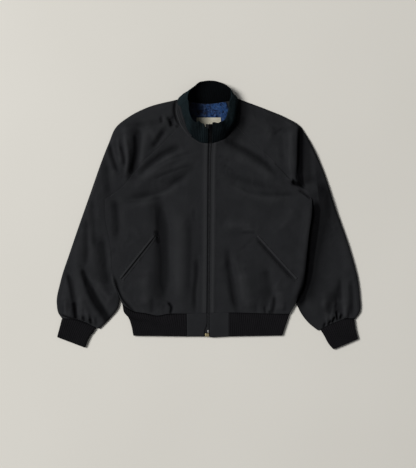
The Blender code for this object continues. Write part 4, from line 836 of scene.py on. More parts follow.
def sleeve_puff(points, side):
    """A broad rise along the middle of the sleeve, none at its seams."""
    outer, inner = sleeve_edges(side)
    from_outer = distance_to(sampled(outer, 60), points)
    from_inner = distance_to(np.r_[sampled(spline(side.raglan), 30),
                                   sampled(inner, 30)], points)
    ends = [sampled(spline(side.cuff_seam), 20), sampled(spline(side.neck_sleeve), 20)]
    from_end = np.minimum(distance_to(ends[0], points), distance_to(ends[1], points))
    middle = np.minimum(from_outer, from_inner) / PUFF_RISE
    return SLEEVE_PUFF * np.clip(middle, 0, 1)**0.8 * np.clip(from_end / PUFF_RISE, 0, 1)


def sleeve_surface(points, side):
    outer_edge, inner_edge = sleeve_edges(side)
    seams = [spline(side.neck_sleeve), spline(side.raglan), spline(side.cuff_seam)]
    edges = [Turn(outer_edge, ROLL), Turn(inner_edge, *side.sleeve_turn)]
    return upper_surface(points, side, edges, seams, sleeve_puff(points, side))


# -------------------------------------------------------------- cloth walls

def raise_to(points, heights):
    return np.concatenate([points, heights[..., None]], axis=-1)


def square_to(edge, inside):
    """Unit plan vectors square to an edge, pointing into the piece."""
    run = np.gradient(edge[:, :2], axis=0)
    square = np.c_[-run[:, 1], run[:, 0]]
    square /= np.maximum(np.linalg.norm(square, axis=1), 1e-9)[:, None]
    towards = np.sign((square * (inside - edge)[:, :2]).sum(1))
    return np.c_[square * towards[:, None], np.zeros(len(edge))]


EDGES = {"top": ((0, slice(None)), (1, slice(None))),
         "bottom": ((-1, slice(None)), (-2, slice(None))),
         "start": ((slice(None), 0), (slice(None), 1)),
         "end": ((slice(None), -1), (slice(None), -2))}


def draw_in(points, edges, gap=VISIBLE_GAP):
    """The plan grid with the named edges drawn in, so that a seam has its gap."""
    drawn = points.copy()
    for name in edges:
        edge, inside = EDGES[name]
        square = square_to(points[edge], points[inside])[:, :2]
        step = np.linalg.norm(points[inside] - points[edge], axis=1)
        drawn[edge] = drawn[edge] + np.minimum(gap, 0.45 * step)[:, None] * square
    return drawn


def outward(points, facing_down=False):
    """Unit normals of a grid of points, from the steps between its rows and columns."""
    normal = np.cross(np.gradient(points, axis=1), np.gradient(points, axis=0))
    normal /= np.maximum(np.linalg.norm(normal, axis=-1), 1e-9)[..., None]
    columns = normal.shape[1]
    middle = normal[normal.shape[0] // 2, columns // 12:columns // 6, 2].sum()
    return normal if (middle < 0) == facing_down else -normal


def thicken(outer, wall, seams=(), turned_edges=(), facing_down=False):
    """Inner face of a wall. Its edge faces stand upright at seams and lie level at turned edges."""
    normal = outward(outer, facing_down)
    for name in seams:
        edge, inside = EDGES[name]
        square = square_to(outer[edge], outer[inside])
        flat = normal[edge] - (normal[edge] * square).sum(1)[:, None] * square
        normal[edge] = flat / np.maximum(np.linalg.norm(flat, axis=1), 1e-9)[:, None]
    for name, rows in turned_edges:
        edge, inside = EDGES[name]
        normal[edge][rows] = -square_to(outer[edge], outer[inside])[rows]
    return outer - wall * normal


def wall_mesh(name, outer, inner):
    """Closed mesh between two grids of the same size, in metres."""
    rows, columns = outer.shape[:2]
    place = np.arange(rows * columns).reshape(rows, columns)
    quads = np.stack([place[:-1, :-1], place[:-1, 1:], place[1:, 1:], place[1:, :-1]], axis=-1).reshape(-1, 4)
    ring = np.r_[place[0], place[1:, -1], place[-1, -2::-1], place[-2:0:-1, 0]]
    after = np.roll(ring, -1)
    count = rows * columns
    rim = np.stack([ring, ring + count, after + count, after], axis=-1)
    faces = np.concatenate([quads, quads[:, ::-1] + count, rim])
    mesh = bpy.data.meshes.new(name)
    points = np.concatenate([outer.reshape(-1, 3), inner.reshape(-1, 3)]) * MM
    row, column = rows // 2, columns // 4
    corner = outer[row, column]
    square = np.cross(outer[row, column + 1] - corner, outer[row + 1, column] - corner)
    if square @ (corner - inner[row, column]) < 0:
        faces = faces[:, ::-1]
    mesh.from_pydata(points.tolist(), [], faces.tolist())
    mesh.update()
    return mesh


def add_piece(name, mesh, material, node, sharp=50):
    """Link a mesh as a piece of the jacket that stands for a CAD node."""
    piece = bpy.data.objects.new(name, mesh)
    mesh.materials.append(material)
    bpy.context.scene.collection.objects.link(piece)
    mesh.shade_smooth()
    mesh.set_sharp_from_angle(angle=radians(sharp))
    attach(piece, "jacket")
    if node:
        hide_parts(node)
    return piece


def add_values(mesh, name, values):
    """A value for each point of a mesh, which its material reads."""
    layer = mesh.attributes.new(name, "FLOAT", "POINT")
    layer.data.foreach_set("value", np.asarray(values, np.float32).ravel())


def add_knit_places(mesh, across, up):
    """Where each point lies in the knit: wales across and courses up."""
    layer = mesh.attributes.new("knit", "FLOAT_VECTOR", "POINT")
    places = np.stack([across, up, np.zeros_like(up)], axis=-1).reshape(-1, 3)
    layer.data.foreach_set("vector", np.concatenate([places, places]).astype(np.float32).ravel())


def relief_of(outer):
    """How far each point of a cloth grid stands above or below the cloth round it, from -1 to 1. The shell's
    material paints raised points lighter, for wear and as painted highlight, and sunken ones darker, as
    painted shade.
    """
    height = outer[..., 2]
    wide = height.copy()
    for _ in range(RELIEF_REACH):
        padded = np.pad(wide, 1, mode="edge")
        wide = (padded[:-2, 1:-1] + padded[2:, 1:-1] + padded[1:-1, :-2] + padded[1:-1, 2:]) / 4
    raised = np.clip((height - wide) / RELIEF_HEIGHT, -1, 1)
    return np.concatenate([raised.ravel(), np.zeros(raised.size)])


# ---------------------------------------------------------------- materials

DEEP_SHADE = (0.0014, 0.0014, 0.0017)   # painted shade: colour of cloth deep inside a fold or beside a higher piece


class Nodes:
    """A material's node tree, with short calls for the nodes used here."""

    def __init__(self, name, colour, roughness, metallic=0.0, specular=0.5):
        self.material = bpy.data.materials.new(name)
        self.material.use_nodes = True
        self.tree = self.material.node_tree
        self.shader = self.tree.nodes["Principled BSDF"]
        self.shader.inputs["Base Color"].default_value = (*colour, 1.0)
        self.shader.inputs["Roughness"].default_value = roughness
        self.shader.inputs["Metallic"].default_value = metallic
        self.shader.inputs["Specular IOR Level"].default_value = specular
        self.material.diffuse_color = (*colour, 1.0)

    def add(self, kind, **settings):
        node = self.tree.nodes.new(kind)
        for key, value in settings.items():
            setattr(node, key, value)
        return node

    def link(self, output, socket):
        self.tree.links.new(output, socket)

    def place(self):
        """Position on the object, in metres."""
        return self.add("ShaderNodeTexCoord").outputs["Object"]

    def attribute(self, name, output="Fac"):
        return self.add("ShaderNodeAttribute", attribute_name=name).outputs[output]

    def math(self, operation, first, second=0.0):
        node = self.add("ShaderNodeMath", operation=operation)
        for socket, value in zip(node.inputs, (first, second)):
            if isinstance(value, (int, float)):
                socket.default_value = value
            else:
                self.link(value, socket)
        return node.outputs[0]

    def noise(self, scale, detail=3.0, roughness=0.55, distortion=0.0, vector=None):
        node = self.add("ShaderNodeTexNoise")
        self.link(vector or self.place(), node.inputs["Vector"])
        node.inputs["Scale"].default_value = scale
        node.inputs["Detail"].default_value = detail
        node.inputs["Roughness"].default_value = roughness
        node.inputs["Distortion"].default_value = distortion
        return node.outputs["Fac"]

    def between(self, value, low, high, from_low=0.0, from_high=1.0):
        node = self.add("ShaderNodeMapRange")
        self.link(value, node.inputs["Value"])
        node.inputs["From Min"].default_value = from_low
        node.inputs["From Max"].default_value = from_high
        node.inputs["To Min"].default_value = low
        node.inputs["To Max"].default_value = high
        return node.outputs[0]

    def colours(self, value, first, second):
        """Mix of two colours; either may be a socket."""
        node = self.add("ShaderNodeMix", data_type="RGBA")
        self.link(value, node.inputs["Factor"])
        for key, colour in (("A", first), ("B", second)):
            socket = [s for s in node.inputs if s.name == key and s.type == "RGBA"][0]
            if isinstance(colour, tuple):
                socket.default_value = (*colour, 1.0)
            else:
                self.link(colour, socket)
        return [s for s in node.outputs if s.type == "RGBA"][0]

    def bump(self, height, distance, strength=1.0, below=None):
        node = self.add("ShaderNodeBump")
        node.inputs["Distance"].default_value = distance
        node.inputs["Strength"].default_value = strength
        self.link(height, node.inputs["Height"])
        if below:
            self.link(below, node.inputs["Normal"])
        return node.outputs["Normal"]


def twill_height(nodes, pitch):
    """Fine diagonal weave on the cloth's plan: ribs one way, crossed by finer threads."""
    split = nodes.add("ShaderNodeSeparateXYZ")
    nodes.link(nodes.place(), split.inputs[0])
    x, y = split.outputs[0], split.outputs[1]
    diagonal = nodes.math("ADD", x, nodes.math("MULTIPLY", y, 1.6))
    ribs = nodes.math("SINE", nodes.math("MULTIPLY", diagonal, 2 * pi / pitch))
    threads = nodes.math("SINE", nodes.math("MULTIPLY", x, 2 * pi / (pitch * 0.55)))
    return nodes.math("ADD", ribs, nodes.math("MULTIPLY", threads, 0.35))


def shell_material():
    nodes = Nodes("shell", (0.0150, 0.0155, 0.0168), 0.78, specular=0.03)
    patches = nodes.between(nodes.noise(14, 4, 0.6, 0.4), 0, 1, 0.3, 0.7)
    colour = nodes.colours(patches, (0.0146, 0.0150, 0.0164), (0.0186, 0.0191, 0.0206))
    fibres = nodes.between(nodes.noise(900, 2, 0.7), 0, 0.5, 0.45, 0.75)
    colour = nodes.colours(fibres, colour, (0.0240, 0.0246, 0.0262))
    # Relief: raised cloth gets a lighter colour, for wear and as painted highlight; sunken cloth gets a
    # darker one, as painted shade.
    relief = nodes.attribute("relief")
    tone_shift = nodes.between(relief, 0, 1, 0.1, 2.2)
    colour = nodes.colours(tone_shift, colour, (0.0300, 0.0306, 0.0322))
    hollow = nodes.between(relief, 0.6, 0, -1.0, -0.1)
    colour = nodes.colours(hollow, colour, (0.0080, 0.0082, 0.0092))
    # Painted shade from the shade attribute, towards DEEP_SHADE, in deep folds and beside higher pieces.
    nodes.link(nodes.colours(nodes.attribute("shade"), colour, DEEP_SHADE), nodes.shader.inputs["Base Color"])
    nodes.link(nodes.between(nodes.noise(60, 3, 0.6), 0.72, 0.86, 0.3, 0.7), nodes.shader.inputs["Roughness"])
    crumple = nodes.bump(nodes.noise(95, 3, 0.5, 0.8), 0.0009, 0.5)
    weave = nodes.bump(twill_height(nodes, 0.0009), 0.00006, 0.5, crumple)
    nodes.link(weave, nodes.shader.inputs["Normal"])
    return nodes.material


def knit_material(name, dark, light):
    """Rib knit: each wale is a column of small V stitches."""
    nodes = Nodes(name, dark, 0.95, specular=0.03)
    split = nodes.add("ShaderNodeSeparateXYZ")
    nodes.link(nodes.attribute("knit", "Vector"), split.inputs[0])
    across, up = split.outputs[0], split.outputs[1]
    from_middle = nodes.math("ABSOLUTE", nodes.math("SUBTRACT", nodes.math("FRACT", across), 0.5))
    leaning = nodes.math("ADD", up, nodes.math("MULTIPLY", from_middle, 1.3))
    stitches = nodes.math("SINE", nodes.math("MULTIPLY", leaning, 2 * pi))
    wales = nodes.math("COSINE", nodes.math("MULTIPLY", from_middle, 2 * pi))
    height = nodes.math("ADD", nodes.math("MULTIPLY", stitches, 0.5), wales)
    fuzz = nodes.noise(700, 3, 0.7)
    patches = nodes.between(nodes.noise(35, 3, 0.6), 0, 1, 0.3, 0.7)
    colour = nodes.colours(patches, dark, light)
    # Painted shade in the knit's grooves: the lower parts of ribs and stitches are darker.
    lit = nodes.between(height, 0.0, 0.8, -1.2, 1.4)
    colour = nodes.colours(lit, tuple(c * 0.6 for c in dark), colour)
    colour = nodes.colours(nodes.between(fuzz, 0, 0.5, 0.5, 0.8), colour, tuple(c * 1.5 for c in light))
    # Painted shade from the shade attribute, towards DEEP_SHADE.
    nodes.link(nodes.colours(nodes.attribute("shade"), colour, DEEP_SHADE), nodes.shader.inputs["Base Color"])
    fuzzy = nodes.bump(fuzz, 0.0004, 0.5)
    nodes.link(nodes.bump(height, 0.00035, 0.8, fuzzy), nodes.shader.inputs["Normal"])
    return nodes.material


def lining_material():
    """Smooth woven lining in uneven blues, with a soft sheen."""
    nodes = Nodes("lining", (0.03, 0.08, 0.26), 0.5, specular=0.12)
    broad = nodes.between(nodes.noise(85, 3, 0.6, 1.2), 0, 1, 0.38, 0.60)
    colour = nodes.colours(broad, (0.0014, 0.0052, 0.022), (0.013, 0.045, 0.138))
    fine = nodes.between(nodes.noise(160, 3, 0.6, 0.6), 0, 0.7, 0.5, 0.72)
    colour = nodes.colours(fine, colour, (0.044, 0.098, 0.230))
    # Painted shadow of the collar, from the shade attribute.
    colour = nodes.colours(nodes.attribute("shade"), colour, (0.0015, 0.0022, 0.0060))
    nodes.link(colour, nodes.shader.inputs["Base Color"])
    nodes.link(nodes.between(nodes.noise(90, 2), 0.42, 0.6, 0.3, 0.7), nodes.shader.inputs["Roughness"])
    crinkle = nodes.bump(nodes.noise(120, 4, 0.6, 1.0), 0.0012, 0.7)
    nodes.link(nodes.bump(twill_height(nodes, 0.0006), 0.00004, 0.4, crinkle), nodes.shader.inputs["Normal"])
    return nodes.material


def label_material():
    nodes = Nodes("label", (0.60, 0.56, 0.44), 0.75, specular=0.3)
    stain = nodes.between(nodes.noise(60, 4, 0.6), 0, 1, 0.3, 0.75)
    colour = nodes.colours(stain, (0.43, 0.40, 0.31), (0.55, 0.52, 0.42))
    # Painted shadow of the collar, from the shade attribute.
    nodes.link(nodes.colours(nodes.attribute("shade"), colour, (0.10, 0.10, 0.08)),
               nodes.shader.inputs["Base Color"])
    threads = nodes.bump(twill_height(nodes, 0.0008), 0.00008, 0.6)
    nodes.link(nodes.bump(nodes.noise(90, 2), 0.0006, 0.5, threads), nodes.shader.inputs["Normal"])
    return nodes.material


def tape_material():
    nodes = Nodes("zip_tape", (0.012, 0.012, 0.013), 0.85, specular=0.2)
    colour = nodes.colours(nodes.between(nodes.noise(300, 2), 0, 1, 0.4, 0.6), (0.009, 0.009, 0.010),
                           (0.016, 0.016, 0.017))
    nodes.link(colour, nodes.shader.inputs["Base Color"])
    nodes.link(nodes.bump(twill_height(nodes, 0.0012), 0.0001, 0.7), nodes.shader.inputs["Normal"])
    return nodes.material


def thread_material():
    nodes = Nodes("thread", (0.016, 0.016, 0.018), 0.55, specular=0.4)
    colour = nodes.colours(nodes.noise(400, 2), (0.012, 0.012, 0.013), (0.030, 0.030, 0.033))
    nodes.link(colour, nodes.shader.inputs["Base Color"])
    nodes.link(nodes.bump(nodes.noise(2500, 2), 0.0001, 0.6), nodes.shader.inputs["Normal"])
    return nodes.material


def metal_material(name, colour, tone_shift, roughness):
    """Plated metal with fine scratches and duller patches."""
    nodes = Nodes(name, colour, roughness, metallic=1.0)
    dull = nodes.between(nodes.noise(220, 4, 0.65), 0, 0.75, 0.45, 0.7)
    base = nodes.colours(dull, colour, tone_shift)
    # Painted shade from the shade attribute, where the teeth lie in the collar's shade.
    nodes.link(nodes.colours(nodes.attribute("shade"), base, DEEP_SHADE), nodes.shader.inputs["Base Color"])
    nodes.link(nodes.between(nodes.noise(500, 3, 0.6), roughness - 0.08, roughness + 0.2, 0.3, 0.7),
               nodes.shader.inputs["Roughness"])
    nodes.link(nodes.bump(nodes.noise(1500, 3, 0.6, 0.5), 0.00008, 0.35), nodes.shader.inputs["Normal"])
    return nodes.material


# ------------------------------------------------------------- cloth pieces

def make_front(side, material):
    rows, underarm = rows_past_underarm(BODY_LENGTH, CLOTH_STEP)
    edge = joined(spline(side.raglan), body_side(side), UNDERARM_AT)
    plan = grid(zip_edge(side), edge, spline(side.neck_front), spline(side.hem), rows, CLOTH_STEP)
    plan = draw_in(plan, ("top", "end", "bottom"))
    outer = raise_to(plan, front_surface(plan, side))
    inner = thicken(outer, CLOTH_WALL, ("start", "top", "bottom", "end"), [("end", slice(underarm, None))])
    name = f"shell_front_{side.name}"
    mesh = wall_mesh(name, outer, inner)
    # A lighter strip over the zip's facing, added to the relief.
    away = distance_to(sampled(zip_edge(side), 40), plan)
    lighter_at, half_width = PLACKET_LIGHTER_AT
    tone_shift = PLACKET_LIGHTENING * np.exp(-((away - lighter_at) / half_width)**2)
    relief = relief_of(outer)
    relief[:tone_shift.size] += tone_shift.ravel()
    add_values(mesh, "relief", relief)
    # Painted shade in deep folds and beside higher pieces.
    add_values(mesh, "shade", np.tile(deep_shade(plan, side).ravel(), 2))
    return add_piece(name, mesh, material, f"front_{side.name}")


def make_back(material):
    rows, underarm = rows_past_underarm(BODY_LENGTH, BACK_STEP)
    edges = [joined(spline(side.raglan_back), body_side(side), UNDERARM_AT) for side in (RIGHT, LEFT)]
    plan = grid(*edges, spline(NECK_BACK), spline(HEM_BACK), rows, BACK_STEP)
    plan = draw_in(plan, ("top", "bottom", "start", "end"))
    outer = raise_to(plan, lower_surface(plan, [(body_side(side), ROLL) for side in (LEFT, RIGHT)], 70))
    below = slice(underarm, None)
    inner = thicken(outer, CLOTH_WALL, ("top", "bottom", "start", "end"),
                    [("start", below), ("end", below)], facing_down=True)
    mesh = wall_mesh("shell_back", outer, inner)
    add_values(mesh, "relief", np.zeros(len(mesh.vertices)))
    return add_piece("shell_back", mesh, material, "back")


def sleeve_plans(side):
    """Plans of the sleeve's upper and lower layers, from its inner edge to its outer one."""
    outer_edge, inner_edge = sleeve_edges(side)
    rows, underarm = rows_past_underarm(SLEEVE_LENGTH, CLOTH_STEP)
    cuff = spline(side.cuff_seam)
    upper = grid(joined(spline(side.raglan), inner_edge, UNDERARM_AT), outer_edge,
                 spline(side.neck_sleeve), cuff, rows, CLOTH_STEP)
    lower = grid(joined(spline(side.raglan_back), inner_edge, UNDERARM_AT), outer_edge,
                 spline(side.neck_sleeve_back), cuff, rows, 2.4 * CLOTH_STEP)
    return upper, lower, underarm


def make_sleeve(side, material):
    """One sheet: the upper layer, the turn at the outer edge, and the lower layer."""
    upper, lower, underarm = sleeve_plans(side)
    upper, lower = [draw_in(plan, ("start", "top", "bottom")) for plan in (upper, lower)]
    shade = np.concatenate([deep_shade(upper, side), np.zeros(lower[:, 1:].shape[:2])], axis=1)
    edges = [(edge, ROLL) for edge in sleeve_edges(side)]
    upper = raise_to(upper, sleeve_surface(upper, side))
    lower = raise_to(lower, lower_surface(lower, edges, side.seed + 5))
    sheet = np.concatenate([upper, lower[:, -2::-1]], axis=1)
    below = slice(underarm, None)
    inner = thicken(sheet, CLOTH_WALL, ("top", "bottom", "start", "end"),
                    [("start", below), ("end", below)])
    name = f"shell_sleeve_{side.name}"
    mesh = wall_mesh(name, sheet, inner)
    # Relief on the upper layer gives wear and painted highlight on ridges and painted shade in hollows; the
    # shade attribute adds painted shade in deep folds.
    add_values(mesh, "relief", relief_of(sheet) * np.tile(np.arange(sheet.shape[1]) < upper.shape[1] - 8,
                                                      2 * sheet.shape[0]))
    add_values(mesh, "shade", np.tile(shade.ravel(), 2))
    return add_piece(name, mesh, material, f"sleeve_{side.name}")


# ---------------------------------------------------------------- rib knit

def ribbed(outer, inner, turns):
    """The outer face raised by ribs; turns is each column's place, one whole number a rib."""
    away = outer - inner
    away /= np.linalg.norm(away, axis=-1)[..., None]
    wave = (0.5 - 0.5 * np.cos(2 * pi * turns))**0.75
    return outer + RIB_RAISE * wave[None, :, None] * away


def rounded_end(rows, length, width):
    """How far the knit draws in, in mm, at a folded edge at the last row."""
    near = np.clip((1 - rows) * length / width, 0, 1)
    return 1 - np.sqrt(1 - (1 - near)**2)


def band_plan(start, end, top, bottom, rows, ribs):
    v = np.linspace(0, 1, COLUMNS_A_RIB * ribs + 1)
    return patch(start, end, top, bottom, np.repeat(rows[:, None], len(v), axis=1),
                 np.repeat(v[None], len(rows), axis=0))


def knit_sheet(name, parts, rows, length, material, node, shade, drawn_ends=()):
    """A rib band from plans and heights of its stretches, joined side by side."""
    sheet = np.concatenate([parts[0][0]] + [points[:, 1:] for points, _ in parts[1:]], axis=1)
    turns = [parts[0][1]]
    for _, ribs in parts[1:]:
        turns.append(turns[-1][-1] + ribs[1:])
    turns = np.concatenate(turns)
    inner = thicken(sheet, KNIT_WALL, ("top", "bottom") + drawn_ends)
    draw = 0.9 * rounded_end(rows, length, 2.4)
    away = sheet - inner
    away /= np.linalg.norm(away, axis=-1)[..., None]
    sheet = sheet - draw[:, None, None] * away
    outer = ribbed(sheet, inner, turns)
    mesh = wall_mesh(name, outer, inner)
    across = np.repeat(turns[None] * 2, len(rows), axis=0)
    up = np.repeat((rows * length / COURSE_PITCH)[:, None], sheet.shape[1], axis=1)
    add_knit_places(mesh, across, up)
    add_values(mesh, "shade", np.tile(shade.ravel(), 2))
    return add_piece(name, mesh, material, node)


def rib_count(length):
    return max(1, round(length / RIB_PITCH))


def band_rows(length):
    return np.linspace(0, 1, round(length / KNIT_STEP) + 1)


def band_puff(points, seed):
    """The knit's own slight unevenness."""
    return 0.35 * uneven(points, 17, seed)


def make_cuff(side, material):
    """Rib cuff, a flattened band with its seam at the inner side."""
    inner_edge, outer_edge = spline(side.cuff_inner), spline(side.cuff_outer)
    bottom = chain_of_lines([inner_edge(1.0), outer_edge(1.0)])
    top = chain_of_lines(np.r_[[inner_edge(0.0)],
                               [p for p in spline(side.cuff_seam)(np.linspace(0.08, 0.98, 24))],
                               [outer_edge(0.0)]])
    ribs = rib_count(np.linalg.norm(outer_edge(0.5) - inner_edge(0.5)))
    rows = band_rows(CUFF_DEPTH)
    plan = draw_in(band_plan(inner_edge, outer_edge, top, bottom, rows, ribs), ("top",), SEAM_GAP)
    edges = [(inner_edge, ROLL), (outer_edge, ROLL)]
    rise = turned(plan, edges)
    seam = distance_to(sampled(top, 30), plan)
    dip = -RIB_DIP * np.exp(-(seam / RIB_DIP_WIDTH)**2)
    upper = raise_to(plan, UPPER_EDGE + (UPPER_TOP - UPPER_EDGE + dip + band_puff(plan, side.seed)) * rise)
    # Painted shade along the seam, under the sleeve's edge.
    shade = 0.6 * np.exp(-(seam / RIB_DIP_WIDTH)**2)
    lower = raise_to(plan, LOWER_EDGE * (1 - rise) + RIB_RAISE * rise)
    turns = np.linspace(0, ribs, plan.shape[1])
    parts = [(upper, turns), (lower[:, ::-1], turns)]
    shade = np.concatenate([shade, np.zeros_like(shade[:, 1:])], axis=1)
    return knit_sheet(f"knit_cuff_{side.name}", parts, rows, CUFF_DEPTH, material, f"cuff_{side.name}", shade)


def make_hem_rib(material):
    """Rib band round the hem, from one tab to the other, folded at both sides."""
    side_right, side_left = spline(RIB_SIDE_RIGHT), spline(RIB_SIDE_LEFT)
    corner_right, corner_left = side_right(1.0), side_left(1.0)
    hem_right = sampled(spline(HEM_RIGHT), 200)
    hem_left = sampled(spline(HEM_LEFT), 200)
    top_right = chain_of_lines(hem_right[hem_right[:, 0] < TAB_SIDE_RIGHT])
    top_left = chain_of_lines(hem_left[hem_left[:, 0] > TAB_SIDE_LEFT])
    start_right = chain_of_lines([top_right(0.0), (TAB_SIDE_RIGHT, RIB_BOTTOM)])
    start_left = chain_of_lines([top_left(0.0), (TAB_SIDE_LEFT, RIB_BOTTOM)])
    rows = band_rows(HEM_DEPTH)
    ribs_right = rib_count(TAB_SIDE_RIGHT - corner_right[0])
    ribs_left = rib_count(corner_left[0] - TAB_SIDE_LEFT)
    ribs_back = rib_count(corner_left[0] - corner_right[0])
    right = band_plan(start_right, side_right, top_right,
                      chain_of_lines([(TAB_SIDE_RIGHT, RIB_BOTTOM), corner_right]), rows, ribs_right)
    left = band_plan(start_left, side_left, top_left,
                     chain_of_lines([(TAB_SIDE_LEFT, RIB_BOTTOM), corner_left]), rows, ribs_left)
    back = band_plan(side_right, side_left, spline(HEM_BACK),
                     chain_of_lines([corner_right, (0, RIB_BOTTOM), corner_left]), rows, ribs_back)
    edges = [(side_right, ROLL), (side_left, ROLL)]
    uppers, shades = [], []
    for plan, top, seed in ((right, top_right, 91), (left, top_left, 92)):
        plan = draw_in(plan, ("top", "start"), VISIBLE_GAP)
        seam = distance_to(sampled(top, 40), plan)
        dip = -RIB_DIP * np.exp(-(seam / RIB_DIP_WIDTH)**2)
        height = UPPER_EDGE + (UPPER_TOP - UPPER_EDGE + dip + band_puff(plan, seed)) * turned(plan, edges)
        uppers.append(raise_to(plan, height))
        # Painted shade along the seam, under the blouson's edge.
        under_edge = np.where(plan[..., 0] < HEM_DARK_UNTIL, *HEM_SHADE)
        shades.append(under_edge * np.minimum(1.4 * np.exp(-(seam / RIB_DIP_WIDTH)**2), 1))
    back = draw_in(back, ("top",), SEAM_GAP)
    rise = turned(back, edges)
    back = raise_to(back, LOWER_EDGE * (1 - rise) + RIB_RAISE * rise)
    parts = [(uppers[0], np.linspace(0, ribs_right, uppers[0].shape[1])),
             (back, np.linspace(0, ribs_back, back.shape[1])),
             (uppers[1][:, ::-1], np.linspace(0, ribs_left, uppers[1].shape[1]))]
    shade = np.concatenate([shades[0], np.zeros(back[:, 1:].shape[:2]), shades[1][:, ::-1][:, 1:]], axis=1)
    return knit_sheet("knit_hem", parts, rows, HEM_DEPTH, material, "hem_rib", shade, ("start", "end"))


def make_hem_tab(side, zip_side, rib_side, bottom, material):
    """Flat shell tab between the rib band and the zip."""
    hem = sampled(spline(side.hem), 200)
    near = hem[np.abs(hem[:, 0]) < abs(rib_side) - 1]
    end_of_top = np.array([rib_side, np.interp(rib_side * side.sign, side.sign * hem[:, 0], hem[:, 1])])
    top = chain_of_lines(np.r_[near, [end_of_top]])
    rows = spread(TAB_DEPTH, KNIT_STEP)
    plan = grid(spline(zip_side), chain_of_lines([end_of_top, bottom[-1]]), top, chain_of_lines(bottom),
                rows, KNIT_STEP)
    plan = draw_in(plan, ("top", "end"))
    outline = [(top, 1.0), (chain_of_lines([end_of_top, bottom[-1]]), 1.0), (spline(zip_side), 0.8),
               (chain_of_lines(bottom), 0.9)]
    height = np.full(plan.shape[:-1], UPPER_TOP) + 0.5 * uneven(plan, 24, side.seed + 8)
    for curve, dip in outline:
        away = distance_to(sampled(curve, 30), plan)
        height += -dip * np.exp(-(away / 1.5)**2) - 0.35 * np.exp(-((away - 5.0) / 1.0)**2)
    outer = raise_to(plan, height)
    inner = thicken(outer, CLOTH_WALL * 1.5, ("top", "bottom", "start", "end"))
    name = f"shell_tab_{side.name}"
    mesh = wall_mesh(name, outer, inner)
    add_values(mesh, "relief", relief_of(outer))
    return add_piece(name, mesh, material, f"hem_tab_{side.name}")


# ------------------------------------------------------------------- collar

def neck_seam():
    """The neck seam round from the zip's left side, as a function of its share, and its length."""
    shares = np.linspace(0, 1, 40)
    shoulder_edges = [(spline(side.outer), ROLL) for side in (LEFT, RIGHT)]

    def upper(points, edges, folds):
        plan = spline(points)(shares)
        beside_zip = np.clip((np.abs(plan[..., 0]) - FLAT_BESIDE_ZIP) / FLAT_BESIDE_ZIP, 0, 1)
        raised = np.maximum(fold_heights(plan, folds), -NECK_DEEPEST_FOLD) * beside_zip
        return raise_to(plan, UPPER_EDGE + (UPPER_TOP - UPPER_EDGE + raised) * turned(plan, edges))

    def front(points, side):
        return upper(points, [(body_side(side), ROLL)], side.folds)

    def sleeve(points, side):
        outer_edge, inner_edge = sleeve_edges(side)
        roll = CAD_SLEEVE_ROLL if side is LEFT else ROLL
        return upper(points, [(outer_edge, ROLL), (inner_edge, roll)], side.sleeve_folds + side.folds)

    def lower(points):
        plan = spline(points)(shares)
        return raise_to(plan, LOWER_EDGE * (1 - turned(plan, shoulder_edges)))

    pieces = [front(NECK_FRONT_LEFT, LEFT), sleeve(NECK_SLEEVE_LEFT, LEFT),
              lower(NECK_SLEEVE_BACK_LEFT)[::-1], lower(NECK_BACK)[::-1], lower(NECK_SLEEVE_BACK_RIGHT),
              sleeve(NECK_SLEEVE_RIGHT, RIGHT)[::-1], front(NECK_FRONT_RIGHT, RIGHT)[::-1]]
    line = np.concatenate([pieces[0][:1]] + [piece[1:] for piece in pieces])
    return chain_of_lines(line), lengths_along(line)[-1]


def outward_from_neck(points):
    """Unit normals of the collar, away from the neck."""
    normal = np.cross(np.gradient(points, axis=1), np.gradient(points, axis=0))
    normal /= np.linalg.norm(normal, axis=-1)[..., None]
    return normal if normal[0, 0, 2] > 0 else -normal


def collar_face(shares, heights, bulge_rows=None, stand_off=COLLAR_STAND_OFF):
    """Outer face of the collar at shares of the way round and shares of the way up."""
    seam = NECK_SEAM(shares)
    table = np.array(COLLAR_SECTIONS, float)
    section = smooth(table[:, 0], table[:, 1:], np.asarray(shares, float))
    top, bulge = section[:, 0:3], section[:, 3]
    seam = seam + stand_off * square_to(seam, top)
    up = heights[:, None, None]
    flat = (1 - up) * seam + up * top
    bow = np.sin(pi * heights)
    if bulge_rows is not None:
        bow = np.interp(heights, bulge_rows, np.sin(pi * np.array(bulge_rows)))
    return flat + (bulge[None, :, None] * bow[:, None, None]) * outward_from_neck(flat)


def notched(points, shares, up):
    """The band cut down towards its end at the zip, where its corner is turned in."""
    cut = NOTCH_DEPTH * smooth_step((shares - NOTCH_FROM) / (1 - NOTCH_FROM) * 1.6)
    for column in np.nonzero(cut > 0)[0]:
        for axis in range(3):
            points[:, column, axis] = np.interp(up * (1 - cut[column]), up, points[:, column, axis])
    return points


def collar_shade(outer, shares, up):
    """Painted shade inside the band, at the foot of its steep side, and over most of its front."""
    inside = np.full(outer.shape[:2], INSIDE_SHADE)
    steep = smooth_step((0.30 - shares) / 0.05) * smooth_step((shares - 0.03) / 0.06)
    steep = steep * smooth_step((0.62 - up[:, None]) / 0.3) * STEEP_SHADE
    left, right = FRONT_SHADES
    front = left * smooth_step((0.12 - shares) / 0.04) + right * smooth_step((shares - 0.87) / 0.03)
    front = front * (1 - 0.8 * np.exp(-((shares - 0.965) / 0.02)**2))
    return np.concatenate([np.maximum(steep, front * np.ones_like(steep)).ravel(), inside.ravel()])


